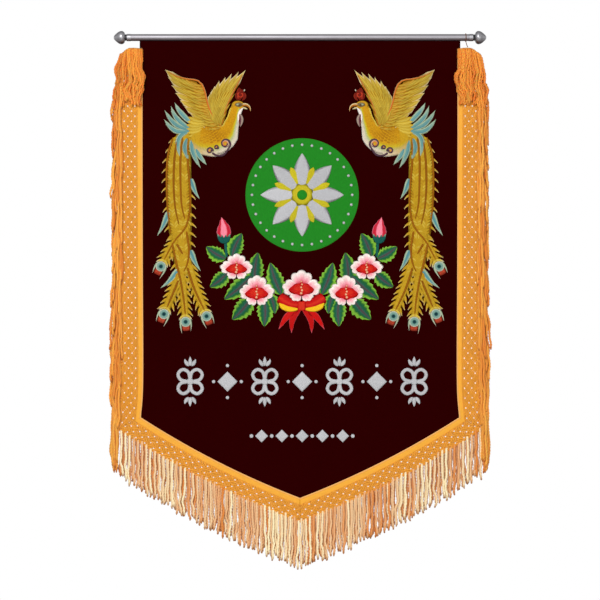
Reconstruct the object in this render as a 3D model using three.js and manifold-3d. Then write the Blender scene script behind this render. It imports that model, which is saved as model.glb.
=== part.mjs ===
// A fringed club flag on its hanging rod: a five-sided cloth panel whose top hem is held in the slot of a
// metal rod with two finials, edged with four lengths of net fringe that meet in mitres.
// Millimetres, +Z up. The origin is on the rod's axis at mid-length, +X runs to the viewer's right, and the
// front of the flag faces -Y.
import * as THREE from "three";
import { mergeVertices } from "three/addons/utils/BufferGeometryUtils.js";
import Module from "manifold-3d";

// Clearance that separate pieces keep from each other.
const GAP = 0.3;

// Rod, finials and neck rings.
const ROD_LENGTH = 650;
const ROD_RADIUS = 6.5;
const ROD_SIDES = 24;
const SLOT_HALF_WIDTH = 0.9;
const SLOT_TOP = -1.5;
const NECK_RADIUS = 6.2;
const NECK_LENGTH = 2.4;
const FINIAL_LENGTH = 21.5;
const FINIAL_RADIUS = 12.5;
const LATHE_SIDES = 16;

// Cloth panel. Each row gives how far below the rod's axis a point of the side edge lies and how far from the
// middle: the edge bows in a little and flares out again at the lower corner.
const PANEL_THICKNESS = 2;
const HEM_HALF_THICKNESS = SLOT_HALF_WIDTH - GAP;
const HEM_TOP = SLOT_TOP - 0.7;
const HEM_ROOT = 1;
const PANEL_TOP = -7;
const SIDE_EDGE = [
  { drop: -PANEL_TOP, out: 300.6 },
  { drop: 180, out: 300.8 },
  { drop: 420, out: 300.3 },
  { drop: 640, out: 299.5 },
  { drop: 715, out: 304 },
];
const TIP_DROP = 869;
const LOWER_BOW = 9;
const EDGE_STEPS = 9;

// Fringe trim: a woven band and a net heading, sewn on the panel's front along its edge.
const HEADING_WIDTH = 43;
const HEADING_THICKNESS = 1.6;
const HEADING_OVERLAP = 6;
const HEADING_TOP = -21;
const HEADING_MIDDLE = -(PANEL_THICKNESS + HEADING_THICKNESS) / 2 - GAP;
const MITRE_GAP = 0.25;
// The knotted outer rim of the net, thick enough to hold the roots of the strands.
const RIM_WIDTH = 5;
const RIM_THICKNESS = 4.8;
// Net gaps: diamonds in rows that run along the edge, every other row shifted by half a repeat. The cloth's
// own net repeats every 19 mm.
const NET_REPEAT = 24;
const NET_ROWS = [17, 24, 31];
const GAP_LONG = 6.3;
const GAP_WIDE = 4.4;
const GAP_CLEAR_OF_MITRE = 7;

// Hanging strands, three-sided locks of cord.
const STRAND_RADIUS = 2.2;
const STRAND_LENGTH = 91;
const STRAND_ROOT = 3;
const LOWER_STRANDS = 48;
const LOWER_UNEVEN = { sway: 0.5, length: 3, depth: 1.6 };
const CLEAR_OF_CORNER = 6;
const SIDE_STRANDS = 57;
const SIDE_STRAND_RADIUS = 1.8;
const SIDE_STRAND_FALL = 84;
const SIDE_SHOULDER = { drop: 3, spread: 0.25 };
const SIDE_MIDDLE = { drop: 0.45, spread: 0.65 };
const SIDE_UNEVEN = { fall: 4, spread: 0.8 };
// Side strands take these depths in turn. A deeper layer spreads further out by the strands' ends.
const SIDE_LAYERS = [
  { depth: -5, spread: 9 },
  { depth: -1, spread: 13 },
  { depth: 3, spread: 17 },
];

// The tuft: the trim's top end turned over to the front, its strands hanging down over the heading.
const TUFT_STRANDS = 12;
const TUFT_STRAND_RADIUS = 1.9;
const TUFT_FOLD_HEIGHT = 8;
const TUFT_BOTTOM = -126;
const TUFT_LAYERS = [-8.6, -12.4];
const TUFT_SIDE_CLEARANCE = 2.5;
const TUFT_BULGE = 5;
const TUFT_FLARE = 11;
const TUFT_UNEVEN = 7;

// Thread tie between the rod and the right-hand fringe.
const TIE_RADIUS = 0.75;
const TIE_X = 310.5;
const TIE_FOOT_X = 314.5;
const TIE_SIDES = 5;
const TIE_RING_SIDES = 16;

const wasm = await Module();
wasm.setup();

const finish = (color, roughness, metalness = 0) =>
  new THREE.MeshStandardMaterial({ color, roughness, metalness });
const FINISH = {
  steel: finish(0x9c9b9f, 0.35, 0.9),
  black: finish(0x1c1c20, 0.4),
  cloth: finish(0x2b0001, 0.95),
  fringe: finish(0xe9a04a, 0.6),
  thread: finish(0x8a5a3c, 0.7),
};

// A closed geometry as a solid that can be joined or cut.
function solidOf(geometry) {
  const bare = geometry.clone();
  bare.deleteAttribute("normal");
  bare.deleteAttribute("uv");
  const merged = mergeVertices(bare, 1e-3);
  return new wasm.Manifold(
    new wasm.Mesh({
      numProp: 3,
      vertProperties: merged.attributes.position.array,
      triVerts: new Uint32Array(merged.index.array),
    }),
  );
}

function geometryOf(solid) {
  const mesh = solid.getMesh();
  return new THREE.BufferGeometry()
    .setAttribute("position", new THREE.BufferAttribute(mesh.vertProperties, 3))
    .setIndex(new THREE.BufferAttribute(mesh.triVerts, 1));
}

function fused(geometries) {
  return geometryOf(wasm.Manifold.union(geometries.map(solidOf)));
}

// A number from -1 to 1 that looks random but is the same every time.
function uneven(index, kind) {
  const wave = Math.sin(index * 12.9898 + kind * 78.233) * 43758.5453;
  return 2 * (wave - Math.floor(wave)) - 1;
}

// A flat piece cut from an outline in the X-Z plane, its front at the given y and its back behind it.
function sheetPiece(shape, front, thickness) {
  return new THREE.ExtrudeGeometry(shape, { depth: thickness, bevelEnabled: false })
    .rotateX(Math.PI / 2)
    .translate(0, front + thickness, 0);
}

// A strand of three sides along a path of 3-D points, with a step at each of the points.
function strand(points, radius) {
  const corners = [0, 1, 2].map((k) => {
    const turn = (k * 2 * Math.PI) / 3;
    return new THREE.Vector2(radius * Math.cos(turn), radius * Math.sin(turn));
  });
  const extrudePath = new THREE.CatmullRomCurve3(points.map((p) => new THREE.Vector3(...p)));
  extrudePath.getUtoTmapping = (u) => u;
  return new THREE.ExtrudeGeometry(new THREE.Shape(corners), {
    steps: points.length - 1,
    bevelEnabled: false,
    extrudePath,
  });
}

// The panel's edge on the right-hand side, as curves in X-Z that run from the top to the tip.
const corner = SIDE_EDGE[SIDE_EDGE.length - 1];
const CORNER = new THREE.Vector2(corner.out, -corner.drop);
const TIP = new THREE.Vector2(0, -TIP_DROP);
const outward = (tangent) => new THREE.Vector2(-tangent.y, tangent.x);
const sideCurve = new THREE.SplineCurve(SIDE_EDGE.map((row) => new THREE.Vector2(row.out, -row.drop)));
const chord = TIP.clone().sub(CORNER).normalize();
const bowPoint = CORNER.clone()
  .add(TIP)
  .multiplyScalar(0.5)
  .add(outward(chord).multiplyScalar(2 * LOWER_BOW));
const lowerCurve = new THREE.QuadraticBezierCurve(CORNER, bowPoint, TIP);

// How far the edge's end moves for each millimetre that the outline grows: square, or along a mitre.
function mitre(normalA, normalB) {
  return normalA.clone().add(normalB).divideScalar(1 + normalA.dot(normalB));
}
const sideEndNormal = new THREE.Vector2(1, 0);
const cornerMitre = mitre(sideEndNormal, outward(lowerCurve.getTangentAt(0)));
const tipNormal = outward(lowerCurve.getTangentAt(1));
const tipMitre = mitre(tipNormal, new THREE.Vector2(-tipNormal.x, tipNormal.y));

// The part of the side edge that the trim covers.
const sideLength = sideCurve.getLength();
const trimStart = (PANEL_TOP - HEADING_TOP) / sideLength;
const SIDE = {
  length: sideLength * (1 - trimStart),
  point: (u) => sideCurve.getPointAt(trimStart + u * (1 - trimStart)),
  normal: (u) => outward(sideCurve.getTangentAt(trimStart + u * (1 - trimStart))),
  startMitre: new THREE.Vector2(1, 0),
  endMitre: cornerMitre,
};
const LOWER = {
  length: lowerCurve.getLength(),
  point: (u) => lowerCurve.getPointAt(u),
  normal: (u) => outward(lowerCurve.getTangentAt(u)),
  startMitre: cornerMitre,
  endMitre: tipMitre,
};

// The edge's points at a distance outside the panel's edge, ends on their mitres.
function offsetLine(edge, distance) {
  const line = [];
  for (let k = 0; k <= EDGE_STEPS; k++) {
    const u = k / EDGE_STEPS;
    const ends = { 0: edge.startMitre, [EDGE_STEPS]: edge.endMitre };
    const direction = ends[k] || edge.normal(u);
    line.push(edge.point(u).addScaledVector(direction, distance));
  }
  return line;
}

// Points for the right-hand side, or their mirror image in reverse order: both run the same way round.
function onSide(points, side) {
  const placed = points.map((p) => new THREE.Vector2(side * p.x, p.y));
  return side < 0 ? placed.reverse() : placed;
}

// One diamond gap of the net, its long diagonal along the edge.
function netGap(edge, along, fromInnerEdge, side) {
  const u = along / edge.length;
  const normal = edge.normal(u);
  const middle = edge.point(u).addScaledVector(normal, fromInnerEdge - HEADING_OVERLAP);
  const tangent = new THREE.Vector2(normal.y, -normal.x);
  const corners = [
    [GAP_LONG / 2, 0],
    [0, GAP_WIDE / 2],
    [-GAP_LONG / 2, 0],
    [0, -GAP_WIDE / 2],
  ];
  return new THREE.Path(
    onSide(
      corners.map(([t, n]) => middle.clone().addScaledVector(tangent, t).addScaledVector(normal, n)),
      side,
    ),
  );
}

// A strip along an edge between two distances from the trim's inner edge.
function stripShape(edge, from, to, side) {
  const inner = offsetLine(edge, from - HEADING_OVERLAP);
  const outer = offsetLine(edge, to - HEADING_OVERLAP);
  return new THREE.Shape(onSide([...inner, ...outer.reverse()], side));
}

// The band and net heading along an edge, and its rim. The net starts at netStart along the edge.
function heading(edge, netStart, side) {
  const shape = stripShape(edge, 0, HEADING_WIDTH, side);
  const endNormal = edge.normal(1);
  const growth = edge.endMitre.dot(new THREE.Vector2(endNormal.y, -endNormal.x));
  NET_ROWS.forEach((fromInnerEdge, row) => {
    const shift = row % 2 ? NET_REPEAT / 2 : 0;
    const mitreEnd = edge.length + Math.min(0, growth * (fromInnerEdge - HEADING_OVERLAP));
    for (let s = netStart + shift; s < mitreEnd - GAP_CLEAR_OF_MITRE; s += NET_REPEAT)
      shape.holes.push(netGap(edge, s, fromInnerEdge, side));
  });
  const rim = stripShape(edge, HEADING_WIDTH - RIM_WIDTH, HEADING_WIDTH, side);
  return [
    sheetPiece(shape, HEADING_MIDDLE - HEADING_THICKNESS / 2, HEADING_THICKNESS),
    sheetPiece(rim, HEADING_MIDDLE - RIM_THICKNESS / 2, RIM_THICKNESS),
  ];
}

// Strands that hang straight down from the lower edge of a slanting heading.
function lowerStrands(side) {
  const lowerLine = offsetLine(LOWER, HEADING_WIDTH - HEADING_OVERLAP);
  const first = lowerLine[0].x - CLEAR_OF_CORNER;
  const pitch = (first - STRAND_RADIUS) / (LOWER_STRANDS - 1);
  const strands = [];
  for (let k = 0; k < LOWER_STRANDS; k++) {
    const x = first - k * pitch;
    const after = Math.max(1, lowerLine.findIndex((p) => p.x < x));
    const [a, b] = [lowerLine[after - 1], lowerLine[after]];
    const rim = a.y + ((b.y - a.y) * (x - a.x)) / (b.x - a.x);
    const sway = LOWER_UNEVEN.sway * uneven(k, 1);
    const end = rim - STRAND_LENGTH + LOWER_UNEVEN.length * uneven(k, 2);
    const depth = LOWER_UNEVEN.depth * uneven(k, 3);
    strands.push(
      strand(
        [
          [side * x, HEADING_MIDDLE, rim + STRAND_ROOT],
          [side * (x + sway), HEADING_MIDDLE + depth / 2, (rim + end) / 2],
          [side * x, HEADING_MIDDLE + depth, end],
        ],
        STRAND_RADIUS,
      ),
    );
  }
  return strands;
}

// Strands of a side trim: each leaves the heading's outer edge, turns down and spreads outwards as it falls.
function sideStrands(side) {
  const rim = new THREE.SplineCurve(offsetLine(SIDE, HEADING_WIDTH - HEADING_OVERLAP));
  const strands = [];
  for (let k = 0; k < SIDE_STRANDS; k++) {
    const root = rim.getPointAt((k + 0.4) / SIDE_STRANDS);
    const layer = SIDE_LAYERS[k % SIDE_LAYERS.length];
    const fall = SIDE_STRAND_FALL + SIDE_UNEVEN.fall * uneven(k, 4);
    const spread = layer.spread + SIDE_UNEVEN.spread * uneven(k, 5);
    const shoulder = root.x + SIDE_SHOULDER.spread * spread;
    const middle = root.x + SIDE_MIDDLE.spread * spread;
    strands.push(
      strand(
        [
          [side * (root.x - STRAND_ROOT), HEADING_MIDDLE, root.y],
          [side * shoulder, layer.depth, root.y - SIDE_SHOULDER.drop],
          [side * middle, layer.depth, root.y - SIDE_MIDDLE.drop * fall],
          [side * (root.x + spread), layer.depth, root.y - fall],
        ],
        SIDE_STRAND_RADIUS,
      ),
    );
  }
  return strands;
}

// The fold at the trim's top end and the strands that hang from it in front of the heading.
function tuft(side) {
  const start = SIDE.point(0).x - HEADING_OVERLAP;
  const frontLayer = Math.min(...TUFT_LAYERS);
  const depth = HEADING_MIDDLE - frontLayer + TUFT_STRAND_RADIUS + GAP;
  const fold = new THREE.BoxGeometry(HEADING_WIDTH, depth, TUFT_FOLD_HEIGHT).translate(
    side * (start + HEADING_WIDTH / 2),
    HEADING_MIDDLE - depth / 2,
    HEADING_TOP - TUFT_FOLD_HEIGHT / 2,
  );
  const pitch = (HEADING_WIDTH - 2 * TUFT_SIDE_CLEARANCE) / (TUFT_STRANDS - 1);
  const strands = [];
  for (let k = 0; k < TUFT_STRANDS; k++) {
    const share = k / (TUFT_STRANDS - 1);
    const x = start + TUFT_SIDE_CLEARANCE + k * pitch;
    const layer = TUFT_LAYERS[k % TUFT_LAYERS.length];
    const middle = x - TUFT_BULGE * (1 - share) + (TUFT_FLARE / 2) * share;
    const end = x + TUFT_FLARE * share * share;
    strands.push(
      strand(
        [
          [side * x, layer, HEADING_TOP - TUFT_FOLD_HEIGHT + STRAND_ROOT],
          [side * middle, layer, (HEADING_TOP + TUFT_BOTTOM) / 2],
          [side * end, layer, TUFT_BOTTOM + TUFT_UNEVEN * uneven(k, 6)],
        ],
        TUFT_STRAND_RADIUS,
      ),
    );
  }
  return [fold, ...strands];
}

function sideFringe(side) {
  // The net starts below the tuft, which covers the heading's top.
  const belowTuft = HEADING_TOP - TUFT_BOTTOM + GAP_CLEAR_OF_MITRE;
  return fused([...heading(SIDE, belowTuft, side), ...sideStrands(side), ...tuft(side)]);
}

function lowerFringe(side) {
  return fused([...heading(LOWER, NET_REPEAT / 2, side), ...lowerStrands(side)]);
}

function panel() {
  const rightSide = offsetLine(SIDE, 0);
  const rightLower = offsetLine(LOWER, 0).slice(1);
  const right = [new THREE.Vector2(SIDE_EDGE[0].out, PANEL_TOP), ...rightSide, ...rightLower];
  const left = onSide(right.slice(0, -1), -1);
  const body = sheetPiece(new THREE.Shape([...right, ...left]), -PANEL_THICKNESS / 2, PANEL_THICKNESS);
  const hemBottom = PANEL_TOP - HEM_ROOT;
  const hem = new THREE.BoxGeometry(2 * SIDE_EDGE[0].out, 2 * HEM_HALF_THICKNESS, HEM_TOP - hemBottom);
  hem.translate(0, 0, (HEM_TOP + hemBottom) / 2);
  return fused([body, hem]);
}

// Round rod with a slot along its underside, which takes the panel's hem.
function rod() {
  const outline = [];
  const slotAngle = Math.asin(SLOT_HALF_WIDTH / ROD_RADIUS);
  const down = -Math.PI / 2;
  for (let k = 0; k <= ROD_SIDES; k++) {
    const angle = down + slotAngle + (k / ROD_SIDES) * 2 * (Math.PI - slotAngle);
    outline.push(new THREE.Vector2(ROD_RADIUS * Math.cos(angle), ROD_RADIUS * Math.sin(angle)));
  }
  outline.push(new THREE.Vector2(-SLOT_HALF_WIDTH, SLOT_TOP), new THREE.Vector2(SLOT_HALF_WIDTH, SLOT_TOP));
  return new THREE.ExtrudeGeometry(new THREE.Shape(outline), { depth: ROD_LENGTH, bevelEnabled: false })
    .translate(0, 0, -ROD_LENGTH / 2)
    .rotateX(Math.PI / 2)
    .rotateZ(Math.PI / 2);
}

// A turned piece on the rod's axis. Rows give the distance along the axis and the radius there.
function turned(rows) {
  const profile = rows.map((row) => new THREE.Vector2(row.radius, row.along));
  return new THREE.LatheGeometry(profile, LATHE_SIDES).rotateZ(-Math.PI / 2);
}

const NECK_START = ROD_LENGTH / 2 + GAP;
const FINIAL_START = NECK_START + NECK_LENGTH + GAP;

function neckRing() {
  const end = NECK_START + NECK_LENGTH;
  return turned([
    { along: NECK_START, radius: 0 },
    { along: NECK_START, radius: NECK_RADIUS },
    { along: end, radius: NECK_RADIUS },
    { along: end, radius: 0 },
  ]);
}

// Bud-shaped finial: it swells from a narrow foot to a round shoulder, then is drawn out to a blunt tip. Rows
// are shares of its length and of its largest radius.
const FINIAL_FORM = [
  { along: 0, radius: 0 },
  { along: 0, radius: 0.55 },
  { along: 0.05, radius: 0.74 },
  { along: 0.12, radius: 0.88 },
  { along: 0.21, radius: 0.97 },
  { along: 0.31, radius: 1 },
  { along: 0.44, radius: 0.96 },
  { along: 0.57, radius: 0.86 },
  { along: 0.69, radius: 0.71 },
  { along: 0.8, radius: 0.54 },
  { along: 0.9, radius: 0.38 },
  { along: 0.97, radius: 0.2 },
  { along: 1, radius: 0 },
];

function finial() {
  return turned(
    FINIAL_FORM.map((row) => ({
      along: FINIAL_START + row.along * FINIAL_LENGTH,
      radius: row.radius * FINIAL_RADIUS,
    })),
  );
}

// A thread looped round the rod, its tail down to the top of the fringe.
function threadTie() {
  const ringRadius = ROD_RADIUS + GAP + TIE_RADIUS;
  const ring = new THREE.TorusGeometry(ringRadius, TIE_RADIUS, TIE_SIDES, TIE_RING_SIDES)
    .rotateY(Math.PI / 2)
    .translate(TIE_X, 0, 0);
  const foot = HEADING_TOP + STRAND_RADIUS + 2 * GAP;
  const section = new THREE.Shape(
    Array.from({ length: TIE_SIDES }, (_, k) => {
      const turn = (k * 2 * Math.PI) / TIE_SIDES;
      return new THREE.Vector2(TIE_RADIUS * Math.cos(turn), TIE_RADIUS * Math.sin(turn));
    }),
  );
  const tail = new THREE.ExtrudeGeometry(section, {
    steps: 3,
    bevelEnabled: false,
    extrudePath: new THREE.CatmullRomCurve3([
      new THREE.Vector3(TIE_X, 0, -ringRadius),
      new THREE.Vector3(TIE_X + 0.8, HEADING_MIDDLE / 2, -ringRadius - 5),
      new THREE.Vector3(TIE_FOOT_X, HEADING_MIDDLE, foot),
    ]),
  });
  return fused([ring, tail]);
}

const flag = new THREE.Group();
function add(name, geometry, material) {
  const mesh = new THREE.Mesh(geometry, material);
  mesh.name = name;
  flag.add(mesh);
  return mesh;
}

add("rod", rod(), FINISH.steel);
add("panel", panel(), FINISH.cloth);
for (const [name, side] of [
  ["left", -1],
  ["right", 1],
]) {
  const turnRound = side < 0 ? Math.PI : 0;
  add(`neck_${name}`, neckRing(), FINISH.black).rotation.z = turnRound;
  add(`finial_${name}`, finial(), FINISH.steel).rotation.z = turnRound;
  add(`fringe_side_${name}`, sideFringe(side), FINISH.fringe).position.z = MITRE_GAP;
  const lower = add(`fringe_lower_${name}`, lowerFringe(side), FINISH.fringe);
  lower.position.set(side * MITRE_GAP, 0, -MITRE_GAP);
}
add("tie_right", threadTie(), FINISH.thread);

export default flag;
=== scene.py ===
"""Hanging club flag: cloth, net fringe, embroidery and rod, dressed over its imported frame."""

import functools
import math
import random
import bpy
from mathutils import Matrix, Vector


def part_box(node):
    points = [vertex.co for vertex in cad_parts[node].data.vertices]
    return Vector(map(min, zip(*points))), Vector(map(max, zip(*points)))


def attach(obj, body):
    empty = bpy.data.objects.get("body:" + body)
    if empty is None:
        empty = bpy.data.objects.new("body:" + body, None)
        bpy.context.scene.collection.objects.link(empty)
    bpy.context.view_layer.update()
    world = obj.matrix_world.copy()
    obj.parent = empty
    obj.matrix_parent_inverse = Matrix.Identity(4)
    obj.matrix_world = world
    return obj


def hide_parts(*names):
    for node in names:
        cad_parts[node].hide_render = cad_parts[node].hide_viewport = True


bl_info = {
    "name": "Fringed Club Flag",
    "version": (1, 0, 0),
    "blender": (4, 5, 0),
    "location": "3D View > Sidebar > Flag",
    "description": "Builds the cloth, net fringe, embroidery and rod of a hanging club flag",
    "category": "Add Mesh",
}

import bpy
from mathutils import Vector, noise

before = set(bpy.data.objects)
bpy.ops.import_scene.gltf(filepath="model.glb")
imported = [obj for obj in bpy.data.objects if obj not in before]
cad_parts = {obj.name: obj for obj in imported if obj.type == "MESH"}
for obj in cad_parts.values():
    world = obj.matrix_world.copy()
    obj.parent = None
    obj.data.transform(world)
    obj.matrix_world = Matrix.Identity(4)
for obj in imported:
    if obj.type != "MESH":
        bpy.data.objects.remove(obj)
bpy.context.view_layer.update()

MM = 0.001
SIDES = {"left": -1, "right": 1}

# The frame's own sizes, in millimetres.
ROD_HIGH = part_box("rod")[1]
ROD_HALF = ROD_HIGH.x / MM
ROD_RADIUS = ROD_HIGH.z / MM
PANEL_LOW, PANEL_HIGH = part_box("panel")
CLOTH_FRONT = PANEL_LOW.y / MM
CLOTH_BACK = PANEL_HIGH.y / MM
TIP_DROP = -PANEL_LOW.z / MM

# The cloth's side edge: half its width, at heights below the rod's axis.
SIDE_EDGE = [(300.6, -7), (300.8, -180), (300.3, -420), (299.5, -640), (304, -715)]
# How far the lower edge bows out, and how far below the rod's axis the trim starts.
LOWER_BOW = 9
TRIM_TOP = 21
CORNER = SIDE_EDGE[-1]


def linear(red, green, blue):
    """The linear colour of a display colour given as 0 to 255."""
    return tuple(
        c / 12.92 if c <= 0.04045 else ((c + 0.055) / 1.055) ** 2.4
        for c in (red / 255, green / 255, blue / 255)
    )


def length_setting(name, description, default, least=0.0):
    """A size that a user may change, kept in metres and given here in millimetres."""
    return bpy.props.FloatProperty(
        name=name, description=description, default=default * MM, min=least, unit="LENGTH", precision=5
    )


def colour_setting(name, description, display):
    """A colour that a user may change, given here as a display colour from 0 to 255."""
    return bpy.props.FloatVectorProperty(
        name=name, description=description, default=linear(*display), size=3, min=0.0, max=1.0,
        subtype="COLOR",
    )


class FlagRodSettings(bpy.types.PropertyGroup):
    """Rod, neck rings and finials."""

    metal: colour_setting("Metal", "Colour of the satin metal of the rod", (168, 165, 170))
    bright: colour_setting("Bright metal", "Colour of the polished ferrules and finials", (176, 175, 179))
    # Painted shade: the metal's underside takes this colour in place of the dark reflection and shadow under
    # the rod and finials.
    underside_shade: colour_setting("Tarnish", "Colour of the metal's darkened underside", (64, 44, 50))
    black: colour_setting("Neck black", "Colour of the neck rings", (22, 22, 25))
    ferrule: length_setting("Ferrule length", "Length of the bright ferrule at each end of the rod", 8)
    ferrule_step: length_setting("Ferrule step", "How far the ferrule stands out of the rod", 0.35)
    roundness: bpy.props.IntProperty(
        name="Roundness", description="Number of faces round the rod and the finials", default=72, min=12
    )


class FlagClothSettings(bpy.types.PropertyGroup):
    """The five-sided panel."""

    colour: colour_setting("Colour", "Colour of the cloth", (43, 0, 1))
    shade: colour_setting("Shade", "Colour of the cloth's darker threads", (31, 0, 0))
    thickness: length_setting("Thickness", "Thickness of the cloth", 1.7)
    ripple: length_setting("Ripple", "How far the hanging cloth waves out of its plane", 1.1)
    thread: length_setting("Thread pitch", "Distance between threads of the weave", 0.55)
    hem: length_setting("Hem width", "Width of the hem turned to the back", 14)
    stitch: length_setting("Stitch length", "Length of a hem stitch", 3.2)
    stitch_colour: colour_setting("Stitch colour", "Colour of the hem thread", (70, 14, 16))


class FlagTrimSettings(bpy.types.PropertyGroup):
    """The net fringe sewn round the panel."""

    width: length_setting("Heading width", "Width of the band and the net together", 43)
    overlap: length_setting("Overlap", "How far the trim lies over the cloth", 5.6)
    band: length_setting("Band width", "Width of the woven band", 14)
    repeat: length_setting("Net repeat", "Distance from one gap of the net to the next along a row", 18.9)
    row: length_setting("Net row", "Distance between rows of gaps", 6.7)
    net_cord: length_setting("Net cord", "Thickness of one cord of the net", 3.0)
    strand: length_setting("Strand", "Thickness of a hanging cord", 5.2)
    tuft_strand: length_setting("Tuft strand", "Thickness of a cord of the tufts", 4.8)
    strand_length: length_setting("Strand length", "Length of a hanging cord", 92)
    turn: length_setting("Twist length", "Length over which a hanging cord turns once", 11)
    lower_pitch: length_setting("Lower pitch", "Distance between lower cords, in each of two layers", 7.8)
    side_pitch: length_setting("Side pitch", "Distance between the roots of side cords", 5.8)
    sway: length_setting("Sway", "How far cords wander from straight", 15)
    band_colour: colour_setting("Band colour", "Colour of the woven band", (244, 170, 42))
    edge_colour: colour_setting("Selvedge colour", "Colour of the band's inner edge", (242, 178, 100))
    net_colour: colour_setting("Net colour", "Colour of the net", (255, 170, 48))
    side_colour: colour_setting("Side colour", "Colour of the side cords", (250, 172, 66))
    tuft_colour: colour_setting("Tuft colour", "Colour of the tufts' cords", (250, 158, 54))
    side_deep: colour_setting("Side deep colour", "Colour of the darker side cords", (216, 110, 24))
    # Painted highlight: the lower cords' colour is paler than the side cords' for how light falls on them.
    lower_colour: colour_setting("Lower colour", "Colour of the lower cords", (255, 232, 188))
    lower_deep: colour_setting("Lower deep colour", "Colour of the darker lower cords", (226, 128, 26))
    seed: bpy.props.IntProperty(name="Seed", description="Seed of the cords' unevenness", default=7)


# The silks: what each is for, and its display colour.
SILKS = {
    "gold": ("Gold silk of wings and tails", 190, 150, 26),
    "straw": ("Paler gold silk", 212, 184, 70),
    "ochre": ("Deeper gold silk", 176, 122, 10),
    "quill": ("Brown silk of the quills", 150, 90, 0),
    "chaff": ("Palest gold silk of the barbs' tips", 222, 202, 148),
    "coral": ("Silk of the wings' leading edges", 206, 112, 34),
    "amber": ("Silk of necks and backs", 200, 144, 8),
    "lemon": ("Yellow silk", 196, 182, 30),
    "cream": ("Cream silk of breasts", 212, 200, 178),
    "mist": ("Grey-green silk of the blue feathers' edges", 168, 186, 156),
    "sky": ("Pale blue silk", 104, 152, 148),
    "sea": ("Deeper blue silk", 72, 134, 146),
    "teal": ("Dark blue-green silk", 10, 88, 78),
    "ink": ("Nearly black silk", 8, 48, 58),
    "plum": ("Silk of the breast scrolls", 84, 56, 70),
    "wine": ("Dark red silk of the crests", 112, 18, 4),
    "ember": ("Brighter silk in crests and tail eyes", 170, 60, 34),
    "red": ("Silk of flower hearts and ribbon", 196, 6, 4),
    "flame": ("Orange-red silk in hearts and ribbon", 226, 58, 28),
    "sun": ("Yellow silk of stamens and the ribbon's lining", 250, 200, 24),
    "pink": ("Silk of petals and buds", 248, 138, 158),
    "petal": ("Palest silk of petals", 250, 238, 230),
    "crimson": ("Silk of the buds' sides", 198, 26, 52),
    "leaf": ("Dark green silk of the leaves", 26, 98, 42),
    "lime": ("Bright green silk of the leaves' edges", 122, 180, 52),
    "pale": ("Palest silk at the leaves' teeth", 168, 192, 116),
    "bark": ("Red-brown silk in the leaves", 84, 54, 52),
    "slate": ("Grey-green silk in the leaves", 74, 98, 90),
    "green": ("Silk of the roundel", 26, 132, 26),
    "dark": ("Silk of the roundel's edge", 10, 44, 12),
    "silver": ("Silver silk", 190, 190, 193),
}


class FlagStitchSettings(bpy.types.PropertyGroup):
    """Embroidery: its thread and its silks."""

    thread: length_setting("Thread", "Thickness of the embroidery thread", 0.6)
    rough: bpy.props.FloatProperty(
        name="Roughness", description="Roughness of the embroidery thread", default=0.5, min=0.0, max=1.0,
        subtype="FACTOR",
    )
    seed: bpy.props.IntProperty(name="Seed", description="Seed of the silks' unevenness", default=5)


for silk, (use, *display) in SILKS.items():
    FlagStitchSettings.__annotations__[silk] = colour_setting(silk.capitalize(), use, display)


class FlagStageSettings(bpy.types.PropertyGroup):
    """Floor, light and camera."""

    distance: length_setting("Camera distance", "Distance of the camera from the flag", 7000)
    view_width: length_setting("View width", "Width that the camera takes in at the flag", 1125)
    view_height: length_setting("View middle", "Height of the middle of the view", -492, least=-3.0)
    floor_drop: length_setting("Floor drop", "How far the floor lies below the rod", 1450)
    key: bpy.props.FloatProperty(name="Key light", description="Power of the key light", default=116.0)
    fill: bpy.props.FloatProperty(name="Fill light", description="Power of the fill light", default=20.0)
    floor: colour_setting("Floor", "Colour of the floor", (236, 235, 232))


# Outlines and paths, in millimetres in the flag's X-Z plane.


def smooth_curve(points, per_span):
    """Points of a smooth curve through the given ones, with per_span steps from each to the next."""
    points = [Vector(p) for p in points]
    ends = [2 * points[0] - points[1]] + points + [2 * points[-1] - points[-2]]
    curve = []
    for k in range(len(points) - 1):
        a, b, c, d = ends[k : k + 4]
        for step in range(per_span):
            t = step / per_span
            curve.append(
                0.5 * ((2 * b) + (c - a) * t + (2 * a - 5 * b + 4 * c - d) * t**2
                       + (3 * b - a - 3 * c + d) * t**3)
            )
    curve.append(points[-1])
    return curve


class Route:
    """A line in the X-Z plane, measured along its length and out from its left-hand side."""

    def __init__(self, points):
        self.points = [Vector(p) for p in points]
        self.reach = [0.0]
        for a, b in zip(self.points, self.points[1:]):
            self.reach.append(self.reach[-1] + (b - a).length)
        self.length = self.reach[-1]

    def at(self, along):
        """The point, its direction and its outward normal at a length along, past the ends too."""
        k = 0
        while k < len(self.points) - 2 and self.reach[k + 1] < along:
            k += 1
        a, b = self.points[k], self.points[k + 1]
        direction = (b - a).normalized()
        point = a + direction * (along - self.reach[k])
        return point, direction, Vector((-direction.y, direction.x))

    def off(self, along, out):
        """The point at a distance out from the line."""
        point, _, normal = self.at(along)
        return point + normal * out

    def end_mitre(self, other):
        """Growth of this line's end, for each millimetre out, where it meets the next line's start."""
        _, direction, normal = self.at(self.length)
        _, _, next_normal = other.at(0)
        corner = (normal + next_normal) / (1 + normal.dot(next_normal))
        return corner.dot(direction)


def edge_routes():
    """The right-hand side edge, from the trim's top to the corner, and the lower edge on to the tip."""
    side = smooth_curve(SIDE_EDGE, 24)
    side = [p for p in side if p.y <= -TRIM_TOP]
    start, end = Vector(CORNER), Vector((0, -TIP_DROP))
    chord = (end - start).normalized()
    control = (start + end) / 2 + Vector((-chord.y, chord.x)) * 2 * LOWER_BOW
    steps = 60
    lower = []
    for k in range(steps + 1):
        t = k / steps
        lower.append(start * (1 - t) ** 2 + control * 2 * t * (1 - t) + end * t**2)
    return Route(side), Route(lower)


SIDE_ROUTE, LOWER_ROUTE = edge_routes()
CORNER_MITRE = SIDE_ROUTE.end_mitre(LOWER_ROUTE)
TIP_DIRECTION = LOWER_ROUTE.at(LOWER_ROUTE.length)[1]
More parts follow.
